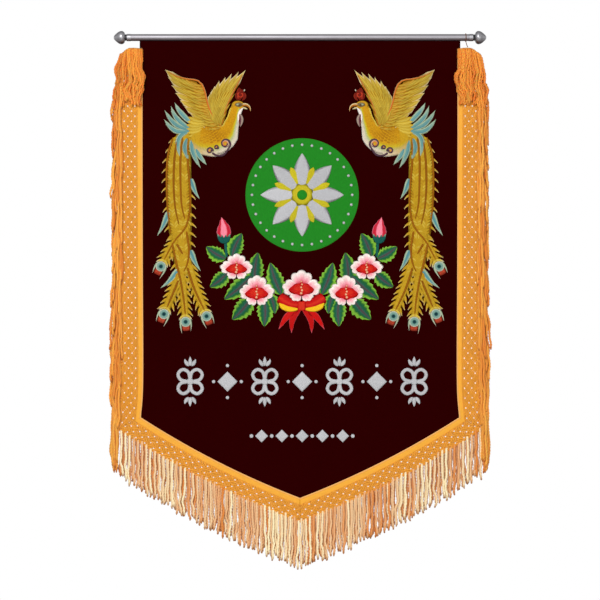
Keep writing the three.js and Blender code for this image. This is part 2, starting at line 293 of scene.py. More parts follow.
# The net's top end slopes down from this far out, under the tuft.
SHOULDER = {"out": 7, "slope": 0.3}
# The side trims are stretched: their band is narrower than the lower ones', and their net starts nearer.
BAND_SHARE = {"side": 0.83, "lower": 0.96}
FIRST_ROW = {"side": 14.3, "lower": 16.7}
# Each band starts to ease into the other's width this far from the corner.
BAND_EASE = 70
ROUTES = {"side": SIDE_ROUTE, "lower": LOWER_ROUTE}


def trim_span(route, out):
    """Where a line of the trim starts and ends along its route, a distance out, between its mitres."""
    if route is SIDE_ROUTE:
        return SHOULDER["slope"] * max(0.0, out - SHOULDER["out"]), route.length + CORNER_MITRE * out
    tip = route.off(route.length, out)
    return -CORNER_MITRE * out, route.length - tip.x / TIP_DIRECTION.x


def height_at(height_line, x):
    """The height of a falling line at x."""
    for a, b in zip(height_line, height_line[1:]):
        if min(a.x, b.x) <= x <= max(a.x, b.x) and a.x != b.x:
            return a.y + (b.y - a.y) * (x - a.x) / (b.x - a.x)
    return height_line[0].y if x > height_line[0].x else height_line[-1].y


def wave(x, z):
    """How far the hanging cloth stands out of its plane, in millimetres. The rod holds its top flat."""
    depth = min(1.0, max(0.0, -z / 260))
    across = math.sin(x / 62 + 1.1 * math.sin(z / 170 + 0.6))
    slow = math.sin(x / 148 - z / 310 + 2.1)
    amount = bpy.context.scene.flag_cloth.ripple / MM
    return amount * depth * (0.45 * across + 0.55 * slow)


def on_cloth(x, y, z):
    """A point of the cloth or the trim, in metres, carried by the cloth's waves."""
    return (x * MM, (y + wave(x, z)) * MM, z * MM)


# Meshes.


def new_object(name, verts, faces, material=None, smooth=True):
    mesh = bpy.data.meshes.new(name)
    mesh.from_pydata([tuple(v) for v in verts], [], faces)
    mesh.validate()
    mesh.polygons.foreach_set("use_smooth", [smooth] * len(mesh.polygons))
    if material:
        mesh.materials.append(material)
    mesh.update()
    piece = bpy.data.objects.new(name, mesh)
    bpy.context.scene.collection.objects.link(piece)
    return piece


def point_attribute(mesh, name, kind, values):
    """Stores one value for each vertex; vectors and colours come as flat tuples."""
    layer = mesh.attributes.new(name, kind, "POINT")
    field = {"FLOAT": "value", "FLOAT2": "vector", "FLOAT_VECTOR": "vector", "FLOAT_COLOR": "color"}[kind]
    flat = values if kind == "FLOAT" else [c for value in values for c in value]
    layer.data.foreach_set(field, flat)


def tube(rings):
    """Vertices and faces of a closed tube through rings of equal count, run so that its faces point out."""
    count = len(rings[0])
    verts = [p for ring in rings for p in ring]
    faces = []
    for r in range(len(rings) - 1):
        low, high = r * count, (r + 1) * count
        for k in range(count):
            nxt = (k + 1) % count
            faces.append((low + k, low + nxt, high + nxt, high + k))
    faces.append(tuple(reversed(range(count))))
    faces.append(tuple(range(len(verts) - count, len(verts))))
    return verts, faces


def turned(rows, count, direction):
    """Rings about the X axis. Rows are (distance along, radius), and direction turns them to the left."""
    rings = []
    for along, radius in rows:
        ring = []
        for k in range(count):
            angle = 2 * math.pi * k / count
            y, z = radius * math.cos(angle), radius * math.sin(angle)
            ring.append((along * direction * MM, y * direction * MM, z * MM))
        rings.append(ring)
    return rings


# Materials.


class Nodes:
    """The nodes of a material, a tree or the world."""

    def __init__(self, tree):
        self.nodes, self.links = tree.nodes, tree.links

    def feed(self, socket, value):
        if isinstance(value, bpy.types.NodeSocket):
            self.links.new(value, socket)
        else:
            socket.default_value = value

    def node(self, kind, inputs=None, **settings):
        """A node with its settings, and its inputs by name or number as values or other nodes' outputs."""
        made = self.nodes.new(kind)
        for key, value in settings.items():
            setattr(made, key, value)
        for key, value in (inputs or {}).items():
            self.feed(made.inputs[key], value)
        return made

    def first(self, kind, inputs=None, **settings):
        """The first output of such a node."""
        return self.node(kind, inputs, **settings).outputs[0]

    def math(self, operation, *values):
        return self.first("ShaderNodeMath", dict(enumerate(values)), operation=operation)

    def vector(self, operation, *values):
        return self.first("ShaderNodeVectorMath", dict(enumerate(values)), operation=operation)

    def mix(self, share, low, high):
        sockets = {"Factor": share, "A": low, "B": high}
        return self.node("ShaderNodeMix", sockets, data_type="RGBA", clamp_factor=True).outputs["Result"]

    def range(self, value, low, high, new_low=0.0, new_high=1.0):
        return self.first("ShaderNodeMapRange", {
            "Value": value, "From Min": low, "From Max": high, "To Min": new_low, "To Max": new_high,
        })


class Finish(Nodes):
    """A material made of nodes round one Principled shader."""

    def __init__(self, name, colour, roughness, metallic=0.0, specular=0.5):
        self.material = bpy.data.materials.new(name)
        self.material.use_nodes = True
        super().__init__(self.material.node_tree)
        self.shader = self.nodes["Principled BSDF"]
        self.set("Base Color", (*colour, 1.0))
        self.set("Roughness", roughness)
        self.set("Metallic", metallic)
        self.set("Specular IOR Level", specular)

    def set(self, socket, value):
        self.feed(self.shader.inputs[socket], value)

    def place(self, scale=(1, 1, 1)):
        """Object coordinates, stretched."""
        where = self.node("ShaderNodeTexCoord").outputs["Object"]
        return self.first("ShaderNodeMapping", {"Vector": where, "Scale": scale})

    def attribute(self, name, output="Fac"):
        return self.node("ShaderNodeAttribute", attribute_name=name).outputs[output]

    def noise(self, vector, scale, detail=2.0):
        return self.first("ShaderNodeTexNoise", {"Vector": vector, "Scale": scale, "Detail": detail})

    def weighted(self, *rows):
        """The sum of values, each times its weight."""
        total = self.math("MULTIPLY", *rows[0])
        for value, weight in rows[1:]:
            total = self.math("MULTIPLY_ADD", value, weight, total)
        return total

    def thread_wave(self, coordinate, pitch):
        """A height from 0 to 1 that rises over each thread, pitch metres apart."""
        turns = self.math("MULTIPLY", coordinate, 2 * math.pi / pitch)
        return self.math("MULTIPLY_ADD", self.math("SINE", turns), 0.5, 0.5)

    def bump(self, height, distance, strength=1.0):
        self.set("Normal", self.first("ShaderNodeBump", {
            "Height": height, "Distance": distance, "Strength": strength,
        }))


def opaque(colour, share=1.0):
    """A colour for a node socket, lightened or darkened."""
    return (*(min(1.0, c * share) for c in colour), 1.0)


def metal_finish(name, colour, roughness, brushing, underside_shade, depths):
    """Brushed metal with a painted shade that darkens it towards its underside, between two depths below the
    rod's axis, in place of a dark reflection.
    """
    finish = Finish(name, colour, roughness, metallic=1.0)
    streaks = finish.noise(finish.place(scale=(6, 900, 900)), 1.0, detail=4.0)
    cloudy = finish.noise(finish.place(), 38.0, detail=3.0)
    clean = finish.mix(cloudy, opaque(colour, 0.9), opaque(colour, 1.04))
    # Painted shade: the colour darkens below the rod's axis towards the underside colour.
    height = finish.node("ShaderNodeSeparateXYZ", {0: finish.place()}).outputs["Z"]
    share = finish.range(height, -depths[0] * MM, -depths[1] * MM, 0.0, 0.85)
    finish.set("Base Color", finish.mix(share, clean, opaque(underside_shade)))
    uneven = finish.range(streaks, 0.25, 0.75, roughness * 0.75, roughness * 1.3)
    finish.set("Roughness", uneven)
    finish.bump(streaks, brushing)
    return finish.material


def neck_finish(colour):
    finish = Finish("neck_black", colour, 0.32)
    speckle = finish.noise(finish.place(), 900.0)
    finish.set("Base Color", finish.mix(speckle, opaque(colour, 0.8), opaque(colour, 1.5)))
    finish.bump(speckle, 0.00003)
    return finish.material


def cloth_finish(settings):
    """Close plain weave: warp and weft cross over each other, with slubs and faint mottling."""
    finish = Finish("flag_cloth", settings.colour, 0.95, specular=0.01)
    parts = finish.node("ShaderNodeSeparateXYZ", {0: finish.place()})
    warp = finish.thread_wave(parts.outputs["X"], settings.thread)
    weft = finish.thread_wave(parts.outputs["Z"], settings.thread)
    over = finish.math("MULTIPLY", warp, weft)
    under = finish.math("MULTIPLY", finish.math("SUBTRACT", 1.0, warp), finish.math("SUBTRACT", 1.0, weft))
    weave = finish.math("ADD", over, under)
    slub = finish.noise(finish.place(scale=(60, 60, 900)), 1.0, detail=3.0)
    cloudy = finish.noise(finish.place(), 14.0, detail=3.0)
    share = finish.weighted((slub, 0.4), (weave, 0.45), (cloudy, 0.25))
    finish.set("Base Color", finish.mix(share, opaque(settings.shade), opaque(settings.colour, 1.1)))
    height = finish.math("MULTIPLY_ADD", slub, 0.5, weave)
    finish.bump(height, 0.00012, 0.6)
    return finish.material


def cord_finish(name, colour, deep=None, thread=0.0007, glow=0.0):
    """Twisted viscose yarn: fibres run round the cord, each cord has its own tone, and light sinks in."""
    deep = deep or tuple(c * 0.7 for c in colour)
    finish = Finish(name, colour, 0.5, specular=0.35)
    along, around = finish.attribute("along"), finish.attribute("around")
    slant = finish.math("MULTIPLY_ADD", around, thread * 3, along)
    fibres = finish.thread_wave(slant, thread)
    streaks = finish.noise(finish.place(scale=(500, 500, 120)), 1.0, detail=3.0)
    share = finish.weighted((finish.attribute("tone"), 0.75), (fibres, 0.2), (streaks, 0.3))
    body = finish.mix(share, opaque(deep), opaque(colour, 1.05))
    finish.set("Base Color", finish.mix(finish.attribute("ends"), body, opaque(deep, 0.5)))
    height = finish.math("MULTIPLY_ADD", streaks, 0.4, fibres)
    finish.bump(height, 0.00015, 0.7)
    finish.set("Sheen Weight", 0.12)
    finish.set("Sheen Roughness", 0.35)
    finish.set("Subsurface Weight", glow)
    finish.set("Subsurface Radius", (1.0, 0.5, 0.2))
    finish.set("Subsurface Scale", 0.003)
    return finish.material


def band_finish(settings):
    """Ribbed band: warp ribs along the trim, weft bars across it, and a paler selvedge."""
    finish = Finish("fringe_band", settings.band_colour, 0.5, specular=0.35)
    grid = finish.attribute("weave", "Vector")
    parts = finish.node("ShaderNodeSeparateXYZ", {0: grid})
    along, out = parts.outputs["X"], parts.outputs["Y"]
    weft = finish.thread_wave(along, 0.0009)
    ribs = finish.thread_wave(out, 0.0014)
    woven = finish.weighted((weft, 0.4), (ribs, 0.6))
    streaks = finish.noise(finish.place(scale=(160, 160, 160)), 1.0, detail=4.0)
    share = finish.weighted((streaks, 0.5), (woven, 0.45))
    body = finish.mix(share, opaque(settings.band_colour, 0.78), opaque(settings.band_colour, 1.12))
    selvedge = finish.range(out, 0.0016, 0.003, 1.0, 0.0)
    finish.set("Base Color", finish.mix(selvedge, body, opaque(settings.edge_colour)))
    finish.bump(woven, 0.00022, 0.8)
    finish.set("Sheen Weight", 0.15)
    finish.set("Sheen Roughness", 0.4)
    return finish.material


def silk_finish(settings):
    """Embroidery thread: the colour is stored on the mesh, with painted shade in the grooves between threads
    and a painted highlight on each thread's crown.
    """
    finish = Finish("embroidery_silk", (0.5, 0.5, 0.5), settings.rough, specular=0.12)
    grid = finish.node("ShaderNodeSeparateXYZ", {0: finish.attribute("thread", "Vector")})
    across, along = grid.outputs["X"], grid.outputs["Y"]
    threads = finish.thread_wave(across, settings.thread)
    lane = finish.first("ShaderNodeCombineXYZ", {
        0: finish.math("DIVIDE", across, settings.thread), 1: finish.math("MULTIPLY", along, 160.0),
    })
    flecks = finish.noise(lane, 1.0)
    # Painted shade and highlight: each thread is lighter on its crown and darker in the groove beside it;
    # flecks vary the tone at random.
    shade = finish.math("MULTIPLY_ADD", threads, 0.16, finish.range(flecks, 0.3, 0.7, 0.72, 1.08))
    grey = finish.first("ShaderNodeCombineXYZ", {0: shade, 1: shade, 2: shade})
    finish.set("Base Color", finish.vector("MULTIPLY", finish.attribute("stitch", "Color"), grey))
    height = finish.math("MULTIPLY_ADD", flecks, 0.5, threads)
    finish.bump(height, 0.00016, 0.8)
    return finish.material


# Geometry Nodes trees.


class Tree(Nodes):
    """A Geometry Nodes tree with named inputs, and the modifier values that go with them."""

    def __init__(self, name, inputs):
        self.group = bpy.data.node_groups.new(name, "GeometryNodeTree")
        face = self.group.interface
        face.new_socket("Geometry", in_out="INPUT", socket_type="NodeSocketGeometry")
        for label, kind in inputs.items():
            face.new_socket(label, in_out="INPUT", socket_type=f"NodeSocket{kind}")
        face.new_socket("Geometry", in_out="OUTPUT", socket_type="NodeSocketGeometry")
        super().__init__(self.group)
        self.start, self.end = self.node("NodeGroupInput"), self.node("NodeGroupOutput")

    def given(self, label):
        return self.start.outputs[label]

    def stored(self, name):
        """A number stored on the points."""
        return self.first("GeometryNodeInputNamedAttribute", {"Name": name}, data_type="FLOAT")

    def store(self, geometry, name, value):
        return self.first("GeometryNodeStoreNamedAttribute", {
            "Geometry": geometry, "Name": name, "Value": value,
        }, data_type="FLOAT", domain="POINT")

    def scaled(self, vector, share):
        return self.first("ShaderNodeVectorMath", {0: vector, "Scale": share}, operation="SCALE")

    def even_points(self, step):
        """The guide's lines as curves with points a step apart."""
        lines = self.first("GeometryNodeMeshToCurve", {"Mesh": self.given("Geometry")})
        return self.first("GeometryNodeResampleCurve", {"Curve": lines, "Length": step}, mode="LENGTH")

    def finish(self, geometry):
        """Realizes what the tree made, gives it its material and ends the tree."""
        whole = self.first("GeometryNodeRealizeInstances", {"Geometry": geometry})
        dressed = {"Geometry": whole, "Material": self.given("Material")}
        self.feed(self.end.inputs[0], self.first("GeometryNodeSetMaterial", dressed))

    def apply(self, piece, values):
        """Runs the tree on a piece, which keeps its name and gets the result as a plain mesh."""
        modifier = piece.modifiers.new("Maker", "NODES")
        modifier.node_group = self.group
        sockets = {s.name: s for s in self.group.interface.items_tree if s.in_out == "INPUT"}
        for label, value in values.items():
            modifier[sockets[label].identifier] = value
        graph = bpy.context.evaluated_depsgraph_get()
        made = bpy.data.meshes.new_from_object(
            piece.evaluated_get(graph), preserve_all_data_layers=True, depsgraph=graph
        )
        if not made.polygons:
            raise RuntimeError(f"{piece.name}: the nodes made nothing")
        guide, name = piece.data, piece.name
        piece.modifiers.clear()
        piece.data = made
        made.name = name
        bpy.data.meshes.remove(guide)
        return piece


@functools.cache
def cord_tree():
    """Sweeps a twisted cord along each line of a mesh of edges, which stores taper and tone."""
    tree = Tree("twisted_cord", {
        "Radius": "Float", "Lobe depth": "Float", "Turn length": "Float", "Step length": "Float",
        "Faces round": "Int", "Sway": "Float", "Seed": "Float", "Material": "Material",
    })
    run = tree.node("GeometryNodeSplineParameter").outputs
    lines = tree.store(tree.even_points(tree.given("Step length")), "along", run["Length"])
    # Cords wander more the further they are from their root, and near ones wander together.
    place = tree.first("GeometryNodeInputPosition")
    shift = tree.first("ShaderNodeCombineXYZ", {1: tree.given("Seed")})
    wander = tree.node("ShaderNodeTexNoise", {
        "Vector": tree.vector("ADD", tree.vector("MULTIPLY", place, (1.0, 1.0, 0.45)), shift),
        "Scale": 85.0, "Detail": 1.5,
    }).outputs["Color"]
    level = tree.vector("MULTIPLY", tree.vector("SUBTRACT", wander, (0.5, 0.5, 0.5)), (1.0, 0.45, 0.0))
    offset = tree.scaled(level, tree.math("MULTIPLY", tree.given("Sway"), tree.stored("loose")))
    moved = tree.first("GeometryNodeSetPosition", {"Geometry": lines, "Offset": offset})
    # Each cord starts its twist at its own angle.
    turns = tree.math("DIVIDE", run["Length"], tree.given("Turn length"))
    turns = tree.math("ADD", turns, tree.math("MULTIPLY", tree.stored("tone"), 7.0))
    angle = tree.math("MULTIPLY", turns, 2 * math.pi)
    tilted = tree.first("GeometryNodeSetCurveTilt", {"Curve": moved, "Tilt": angle})
    # The section is a circle drawn in on two sides, so that its twist shows as two plies.
    circle = tree.first("GeometryNodeCurvePrimitiveCircle", {
        "Resolution": tree.given("Faces round"), "Radius": 1.0,
    })
    spot = tree.node("ShaderNodeSeparateXYZ", {0: place}).outputs
    x2, y2 = tree.math("MULTIPLY", spot[0], spot[0]), tree.math("MULTIPLY", spot[1], spot[1])
    pinch = tree.math("SUBTRACT", tree.math("SUBTRACT", x2, y2), 1.0)
    inward = tree.scaled(place, tree.math("MULTIPLY", pinch, tree.given("Lobe depth")))
    section = tree.first("GeometryNodeSetPosition", {"Geometry": circle, "Offset": inward})
    swept = tree.first("GeometryNodeCurveToMesh", {
        "Curve": tilted, "Profile Curve": tree.store(section, "around", run["Factor"]),
        "Scale": tree.math("MULTIPLY", tree.stored("taper"), tree.given("Radius")), "Fill Caps": True,
    })
    tree.finish(tree.first("GeometryNodeSetShadeSmooth", {"Geometry": swept}))
    return tree


@functools.cache
def stitch_tree():
    """Lays small bar stitches end to end along each line of a mesh of edges."""
    tree = Tree("stitch_row", {
        "Pitch": "Float", "Length": "Float", "Thickness": "Float", "Slant": "Float", "Material": "Material",
    })
    bead = tree.first("GeometryNodeMeshUVSphere", {"Segments": 8, "Rings": 6, "Radius": 0.5})
    facing = tree.first("FunctionNodeAlignRotationToVector", {
        "Vector": tree.first("GeometryNodeInputTangent"),
    }, axis="X")
    turn = tree.first("FunctionNodeAxisAngleToRotation", {
        "Axis": (0.0, 1.0, 0.0), "Angle": tree.given("Slant"),
    })
    slanted = tree.first("FunctionNodeRotateRotation", {
        "Rotation": facing, "Rotate By": turn,
    }, rotation_space="GLOBAL")
    thick = tree.given("Thickness")
    size = tree.first("ShaderNodeCombineXYZ", {0: tree.given("Length"), 1: thick, 2: thick})
    spots = tree.even_points(tree.given("Pitch"))
    tree.finish(tree.first("GeometryNodeInstanceOnPoints", {
        "Points": spots, "Instance": bead, "Rotation": slanted, "Scale": size,
    }))
    return tree


class Lines:
    """Lines for a tree to follow, in metres, each point with how thick, loose and light its cord is, and
    how near its dark end."""

    def __init__(self):
        self.verts, self.edges = [], []
        self.taper, self.loose, self.tone, self.ends = [], [], [], []

    def add(self, points, tone=0.5, loose=None, taper=1.0, ends=None):
        first, count = len(self.verts), len(points)
        self.verts += points
        self.edges += [(first + k, first + k + 1) for k in range(count - 1)]
        self.taper += [taper] * count if isinstance(taper, float) else taper
        self.loose += loose or [0.0] * count
        self.tone += [tone] * count
        self.ends += ends or [0.0] * count

    def follow(self, route, out, y, hand, spacing, **looks):
        """A line at a distance out from a route, from mitre to mitre, with points about spacing apart."""
        start, end = trim_span(route, out)
        count = int((end - start) / spacing)
        spots = [route.off(start + (end - start) * k / count, out) for k in range(count + 1)]
        self.add([on_cloth(hand * p.x, y, p.y) for p in spots], **looks)

    def hang(self, marks, hand, tone, dark=0):
        """A cord through its marks, looser towards its end. dark is how many of its last points darken."""
        path = smooth_curve(marks, 8)
        count = len(path)
        points = [on_cloth(hand * p.x, p.y, p.z) for p in path]
        loose = [min(1.0, 1.4 * k / count) for k in range(count)]
        self.add(points, tone, loose, rounded_ends(count), dark_end(count, dark) if dark else None)

    def sweep(self, name, material, radius, lobes=0.0, turn=0.01, step=0.0015, faces=8, sway=0.0, seed=0.0):
        """Sweeps a cord along every line; sizes are in metres."""
        return cord_tree().apply(self.guide(name), {
            "Radius": radius, "Lobe depth": lobes, "Turn length": turn, "Step length": step,
            "Faces round": faces, "Sway": sway, "Seed": seed, "Material": material,
        })

    def strands(self, name, material, thickness, settings, wander, seed, step=0.0022, faces=8):
        """Hanging cords, which wander by a share of the settings' sway."""
        return self.sweep(
            name, material, thickness / 2, 0.18, settings.turn, step, faces, settings.sway * wander, seed
        )

    def stitch(self, name, material, pitch, length, thickness, slant=0.0):
        return stitch_tree().apply(self.guide(name), {
            "Pitch": pitch, "Length": length, "Thickness": thickness, "Slant": slant,
            "Material": material,
        })

    def guide(self, name):
        mesh = bpy.data.meshes.new(name)
        mesh.from_pydata(self.verts, self.edges, [])
        for field in ("taper", "loose", "tone", "ends"):
            point_attribute(mesh, field, "FLOAT", getattr(self, field))
        piece = bpy.data.objects.new(name, mesh)
        bpy.context.scene.collection.objects.link(piece)
        return piece


def rounded_ends(count, reach=2):
    """Tapers that round off the last points of a cord."""
    taper = [1.0] * count
    for k in range(reach):
        share = (k + 0.25) / reach
        taper[count - 1 - k] = math.sqrt(share * (2 - share))
    return taper


def dark_end(count, reach):
    """How dark each of a cord's points is, with a tip that darkens over its last few."""
    return [max(0.0, 1 - (count - 1 - k) / reach) for k in range(count)]


# Embroidery. Motifs are drawn in millimetres about a point of their own, x to the right and z up.

# How a stitched shape's width runs from root to tip: where it is widest, and how blunt its ends are.
FORMS = {"feather": (1.5, 0.85), "barb": (0.9, 0.9), "leaf": (0.8, 0.8), "lobe": (1.7, 0.5)}


def form_width(form, t):
    """Share of the full width at a share t of the length. A list gives shares at even steps."""
    if isinstance(form, str):
        if form == "stem":
            return min(1.0, math.sqrt(t / 0.04), math.sqrt((1 - t) / 0.04))
        swell, blunt = FORMS[form]
        return math.sin(math.pi * t**swell) ** blunt
    place = t * (len(form) - 1)
    k = min(int(place), len(form) - 2)
    soft = place - k
    soft = soft * soft * (3 - 2 * soft)
    ends = min(1.0, math.sqrt(t / 0.03), math.sqrt((1 - t) / 0.03))
    return (form[k] + (form[k + 1] - form[k]) * soft) * ends


def dyed(tint):
    """The colour of a silk given by its name; a mixed colour stays as it is."""
    return getattr(bpy.context.scene.flag_stitch, tint) if isinstance(tint, str) else tint


def blend(low, high, share):
    share = min(1.0, max(0.0, share))
    return tuple(a + (b - a) * share for a, b in zip(dyed(low), dyed(high)))


def from_stops(stops, value):
    """The colour at a value, from rows of (value, colour) in rising order."""
    for (low, first), (high, second) in zip(stops, stops[1:]):
        if value <= high:
            return blend(first, second, (value - low) / (high - low))
    return stops[-1][1]


class Needlework:
    """Satin-stitched patches on the cloth's front: closed and domed, each thread's run stored on them."""

    # How far a patch reaches into the cloth.
    sunk = 0.25

    def __init__(self, across, up, mirrored=False, seed=0):
        self.across, self.up = across, up
        self.flip = -1 if mirrored else 1
        self.chance = random.Random(bpy.context.scene.flag_stitch.seed + seed)
        self.verts, self.faces, self.threads, self.tints = [], [], [], []

    def vertex(self, point, rise, thread, tint, shade):
        x, z = self.flip * (self.across + point[0]), self.up + point[1]
        self.verts.append(on_cloth(x, CLOTH_FRONT - rise, z))
        self.threads.append((thread[0] * MM, thread[1] * MM, 0.0))
        self.tints.append((*(c * shade for c in dyed(tint)), 1.0))
        return len(self.verts) - 1

    def face(self, *corners):
        self.faces.append(corners if self.flip > 0 else tuple(reversed(corners)))

    def blade(self, spine, width, tint, rim=None, tip=None, form="feather", layer=0.0, crown=0.7, slant=0.7,
              rows=7, teeth=0, lengthwise=False, hem=None, vary=0.07):
        """A shape stitched across its spine, or lengthwise. tint is its colour, with rim at its edges, or
        rows of (place, colour) from one edge, -1, to the other, 1. A tip is a colour and the share of the
        length at which the shape starts to take it. The edges of the far half take the colour hem."""
        route = Route(smooth_curve(spine, 8))
        columns = tint
        if not isinstance(tint, list):
            places = (-1.0, -0.8, -0.5, 0.0, 0.5, 0.8, 1.0) if rim else (-1.0, -0.55, 0.0, 0.55, 1.0)
            columns = [(v, rim if rim and abs(v) > 0.7 else tint) for v in places]
        shade = self.chance.uniform(1 - vary, 1 + vary)
        grid = []
        for k in range(rows + 1):
            t = k / rows if teeth else (1 - math.cos(math.pi * k / rows)) / 2
            spot, _, normal = route.at(t * route.length)
            half = max(0.1, width / 2 * form_width(form, t))
            if teeth:
                half *= 1 + 0.3 * ((t * teeth) % 1.0 - 0.4) * min(1.0, 5 * t, 5 * (1 - t))
            row = []
            for v, colour in columns:
                if hem and abs(v) > 0.7:
                    colour = blend(colour, hem, 4 * t - 2)
                if tip:
                    colour = blend(colour, tip[0], (t - tip[1]) / (1 - tip[1]))
                swell = math.sqrt(max(0.0, 1 - v * v)) * min(1.0, half / 1.5)
                rise = layer - self.sunk + (crown + self.sunk) * swell
                thread = (t * route.length + slant * abs(v) * half, v * half)
                if lengthwise:
                    thread = (v * half, t * route.length)
                row.append(self.vertex(spot + normal * v * half, rise, thread, colour, shade))
            grid.append(row)
        last = len(columns) - 1
        for low, high in zip(grid, grid[1:]):
            for j in range(last):
                self.face(low[j], high[j], high[j + 1], low[j + 1])
            self.face(low[0], low[last], high[last], high[0])
        self.face(*grid[0])
        self.face(*reversed(grid[-1]))

    def wedge(self, heart, reach, stops, start=0, end=360, layer=0.0, crown=0.7, rings=5, spokes=10,
              lean=None):
        """A shape stitched outwards from its heart, between two angles in degrees. reach gives its radius,
        or (across, up) radii, at a share of the way round. Without lean the threads run outwards."""
        heart = Vector(heart)
        whole = end - start >= 360
        shade = self.chance.uniform(0.95, 1.05)
        edge = layer - self.sunk
        centre = self.vertex(heart, layer + crown if whole else edge, (0, 0), stops[0][1], shade)
        grid = []
        for ring in range(1, rings + 1):
            t = ring / rings
            row = []
            for k in range(spokes if whole else spokes + 1):
                share = k / spokes
                angle = math.radians(start + (end - start) * share)
                radius = reach(share) if callable(reach) else reach
                wide, tall = radius if isinstance(radius, tuple) else (radius, radius)
                offset = Vector((wide * t * math.cos(angle), tall * t * math.sin(angle)))
                side = 1.0 if whole else math.sin(math.pi * share) ** 0.4
                swell = math.sqrt(max(0.0, 1 - t**4)) * side
                if lean is None:
                    thread = (angle * wide * 0.8, wide * t)
                else:
                    turn = math.radians(lean)
                    thread = (offset.x * math.cos(turn) + offset.y * math.sin(turn),
                              offset.y * math.cos(turn) - offset.x * math.sin(turn))
                rise = edge + (crown + self.sunk) * swell
                row.append(self.vertex(heart + offset, rise, thread, from_stops(stops, t), shade))
            grid.append(row)
        count = len(grid[0])
        for k in range(count if whole else count - 1):
            nxt = (k + 1) % count
            self.face(centre, grid[0][k], grid[0][nxt])
            for low, high in zip(grid, grid[1:]):
                self.face(low[k], high[k], high[nxt], low[nxt])
        if whole:
            self.face(*reversed(grid[-1]))
        else:
            border = [row[0] for row in grid] + grid[-1][1:] + [row[-1] for row in reversed(grid[:-1])]
            self.face(*reversed([centre] + border))

    def disc(self, heart, radius, tint, layer=0.0, crown=0.6, spokes=20, rings=3):
        self.wedge(heart, radius, [(0, tint), (1, tint)], 0, 360, layer, crown, rings, spokes, lean=30)

    def fan(self, roots, tips, count, width, tint, layer, bend, reach=1.0, **looks):
        """Blades from one line of roots to one line of tips, each laid over the last. They bend more or
        less from the first to the last."""
        inner, outer = Route(smooth_curve(roots, 8)), Route(smooth_curve(tips, 8))
        for k in range(count):
            share = k / (count - 1)
            root = inner.at(share * inner.length)[0]
            run = (outer.at(share * outer.length)[0] - root) * reach
            lean = bend[0] + (bend[1] - bend[0]) * share
            middle = root + run / 2 + Vector((-run.y, run.x)) * lean
            self.blade([root, middle, root + run], width, tint, layer=layer + 0.03 * k, **looks)

    def finish(self, name):
        piece = new_object(name, self.verts, self.faces, bpy.data.materials["embroidery_silk"])
        point_attribute(piece.data, "thread", "FLOAT_VECTOR", self.threads)
        point_attribute(piece.data, "stitch", "FLOAT_COLOR", self.tints)
        return fit(piece, "panel_cloth")


def curl(heart, inner, outer, start, turns):
    """Points of a spiral from its outer end inwards; start is in degrees."""
    points, count = [], 14
    for k in range(count + 1):
        share = k / count
        angle = math.radians(start + 360 * turns * share)
        radius = outer + (inner - outer) * share
        points.append((heart[0] + radius * math.cos(angle), heart[1] + radius * math.sin(angle)))
    return points


# The crested bird, about the middle of its back, as the left-hand one faces.
FAR_WING = {
    "roots": [(-34, 85), (-22, 79), (-16, 58), (-10, 36), (2, 18), (8, 4)],
    "tips": [(-95, 113), (-87, 92), (-78, 73), (-69, 58), (-59, 43), (-47, 29), (-33, 2)],
    "edge": [
        (-90, 109), (-72, 100), (-52, 95), (-36, 93), (-26, 85), (-20, 70), (-16, 52), (-9, 32), (1, 16),
        (11, 6),
    ],
    "count": 9,
    "width": 18,
    "bend": (0.12, 0.1),
    "layer": 0.6,
    "rim": 4.0,
    "warm": 0.2,
}
NEAR_WING = {
    "roots": [(-12, 32), (-7, 18), (2, 9), (9, 8)],
    "tips": [(-15, 58), (-7, 74), (4, 90), (14, 96), (24, 103), (34, 107), (45, 109), (56, 112)],
    "edge": [(12, 9), (15, 25), (20, 42), (28, 60), (38, 80), (50, 103)],
    "count": 8,
    "width": 18,
    "bend": (-0.06, 0.1),
    "layer": 1.0,
    "rim": 2.6,
    "warm": 0.0,
}
TAIL = {
    "spine": [(-62, -4), (-68, -50), (-69.5, -110), (-68, -164), (-64, -225), (-62, -272)],
    "width": 52,
    "form": [0.45, 0.9, 0.97, 0.92, 0.75, 0.5],
    "teeth": {"left": 20, "right": 124},
}
PLUMES = [
    ([(-56, -172), (-74, -206), (-88, -228), (-99, -249)], 15),
    ([(-66, -262), (-78, -300), (-94, -338)], 17),
    ([(-64, -262), (-60, -310), (-57, -352)], 15),
    ([(-53, -240), (-40, -290), (-20, -342)], 16),
]
QUILLS = [
    [(-80, -14), (-90, -50), (-92, -100), (-90, -150), (-84, -196)],
    [(-71, -14), (-77, -50), (-79, -100), (-76, -145), (-69, -178)],
    [(-62, -14), (-66, -50), (-66, -100), (-64, -140), (-58, -168)],
    [(-52, -14), (-53, -50), (-49, -100), (-48, -145), (-56, -182), (-77, -208), (-97, -244)],
    [(-82, -212), (-75, -245), (-66, -282), (-60, -318), (-57, -346)],
    [(-55, -190), (-50, -225), (-53, -250), (-60, -266)],
    [(-53, -258), (-43, -290), (-31, -318), (-21, -338)],
    [(-70, -282), (-79, -304), (-91, -332)],
    [(-73, -214), (-62, -233)],
]
# Roots and tips of the blue feathers beside the tail.
BARBS = [
    ((-48, -92), (-30, -130)), ((-88, -154), (-110, -199)), ((-48, -226), (-28, -265)),
    ((-70, -262), (-104, -297)),
]
BLUE_FEATHERS = [
    [(-46, 12), (-58, 24), (-70, 38), (-77, 51)],
    [(-49, 2), (-67, 15), (-78, 29), (-84, 45)],
    [(-50, -1), (-72, 8), (-85, 20), (-96, 37)],
    [(-50, -3), (-72, -3), (-86, 6), (-97, 20)],
    [(-49, -2), (-65, -10), (-71, -26), (-67, -52)],
    [(-54, -16), (-58, -34), (-51, -58)],
    [(-42, -12), (-45, -32), (-38, -54), (-28, -72)],
    [(-34, -24), (-33, -44), (-17, -66)],
]


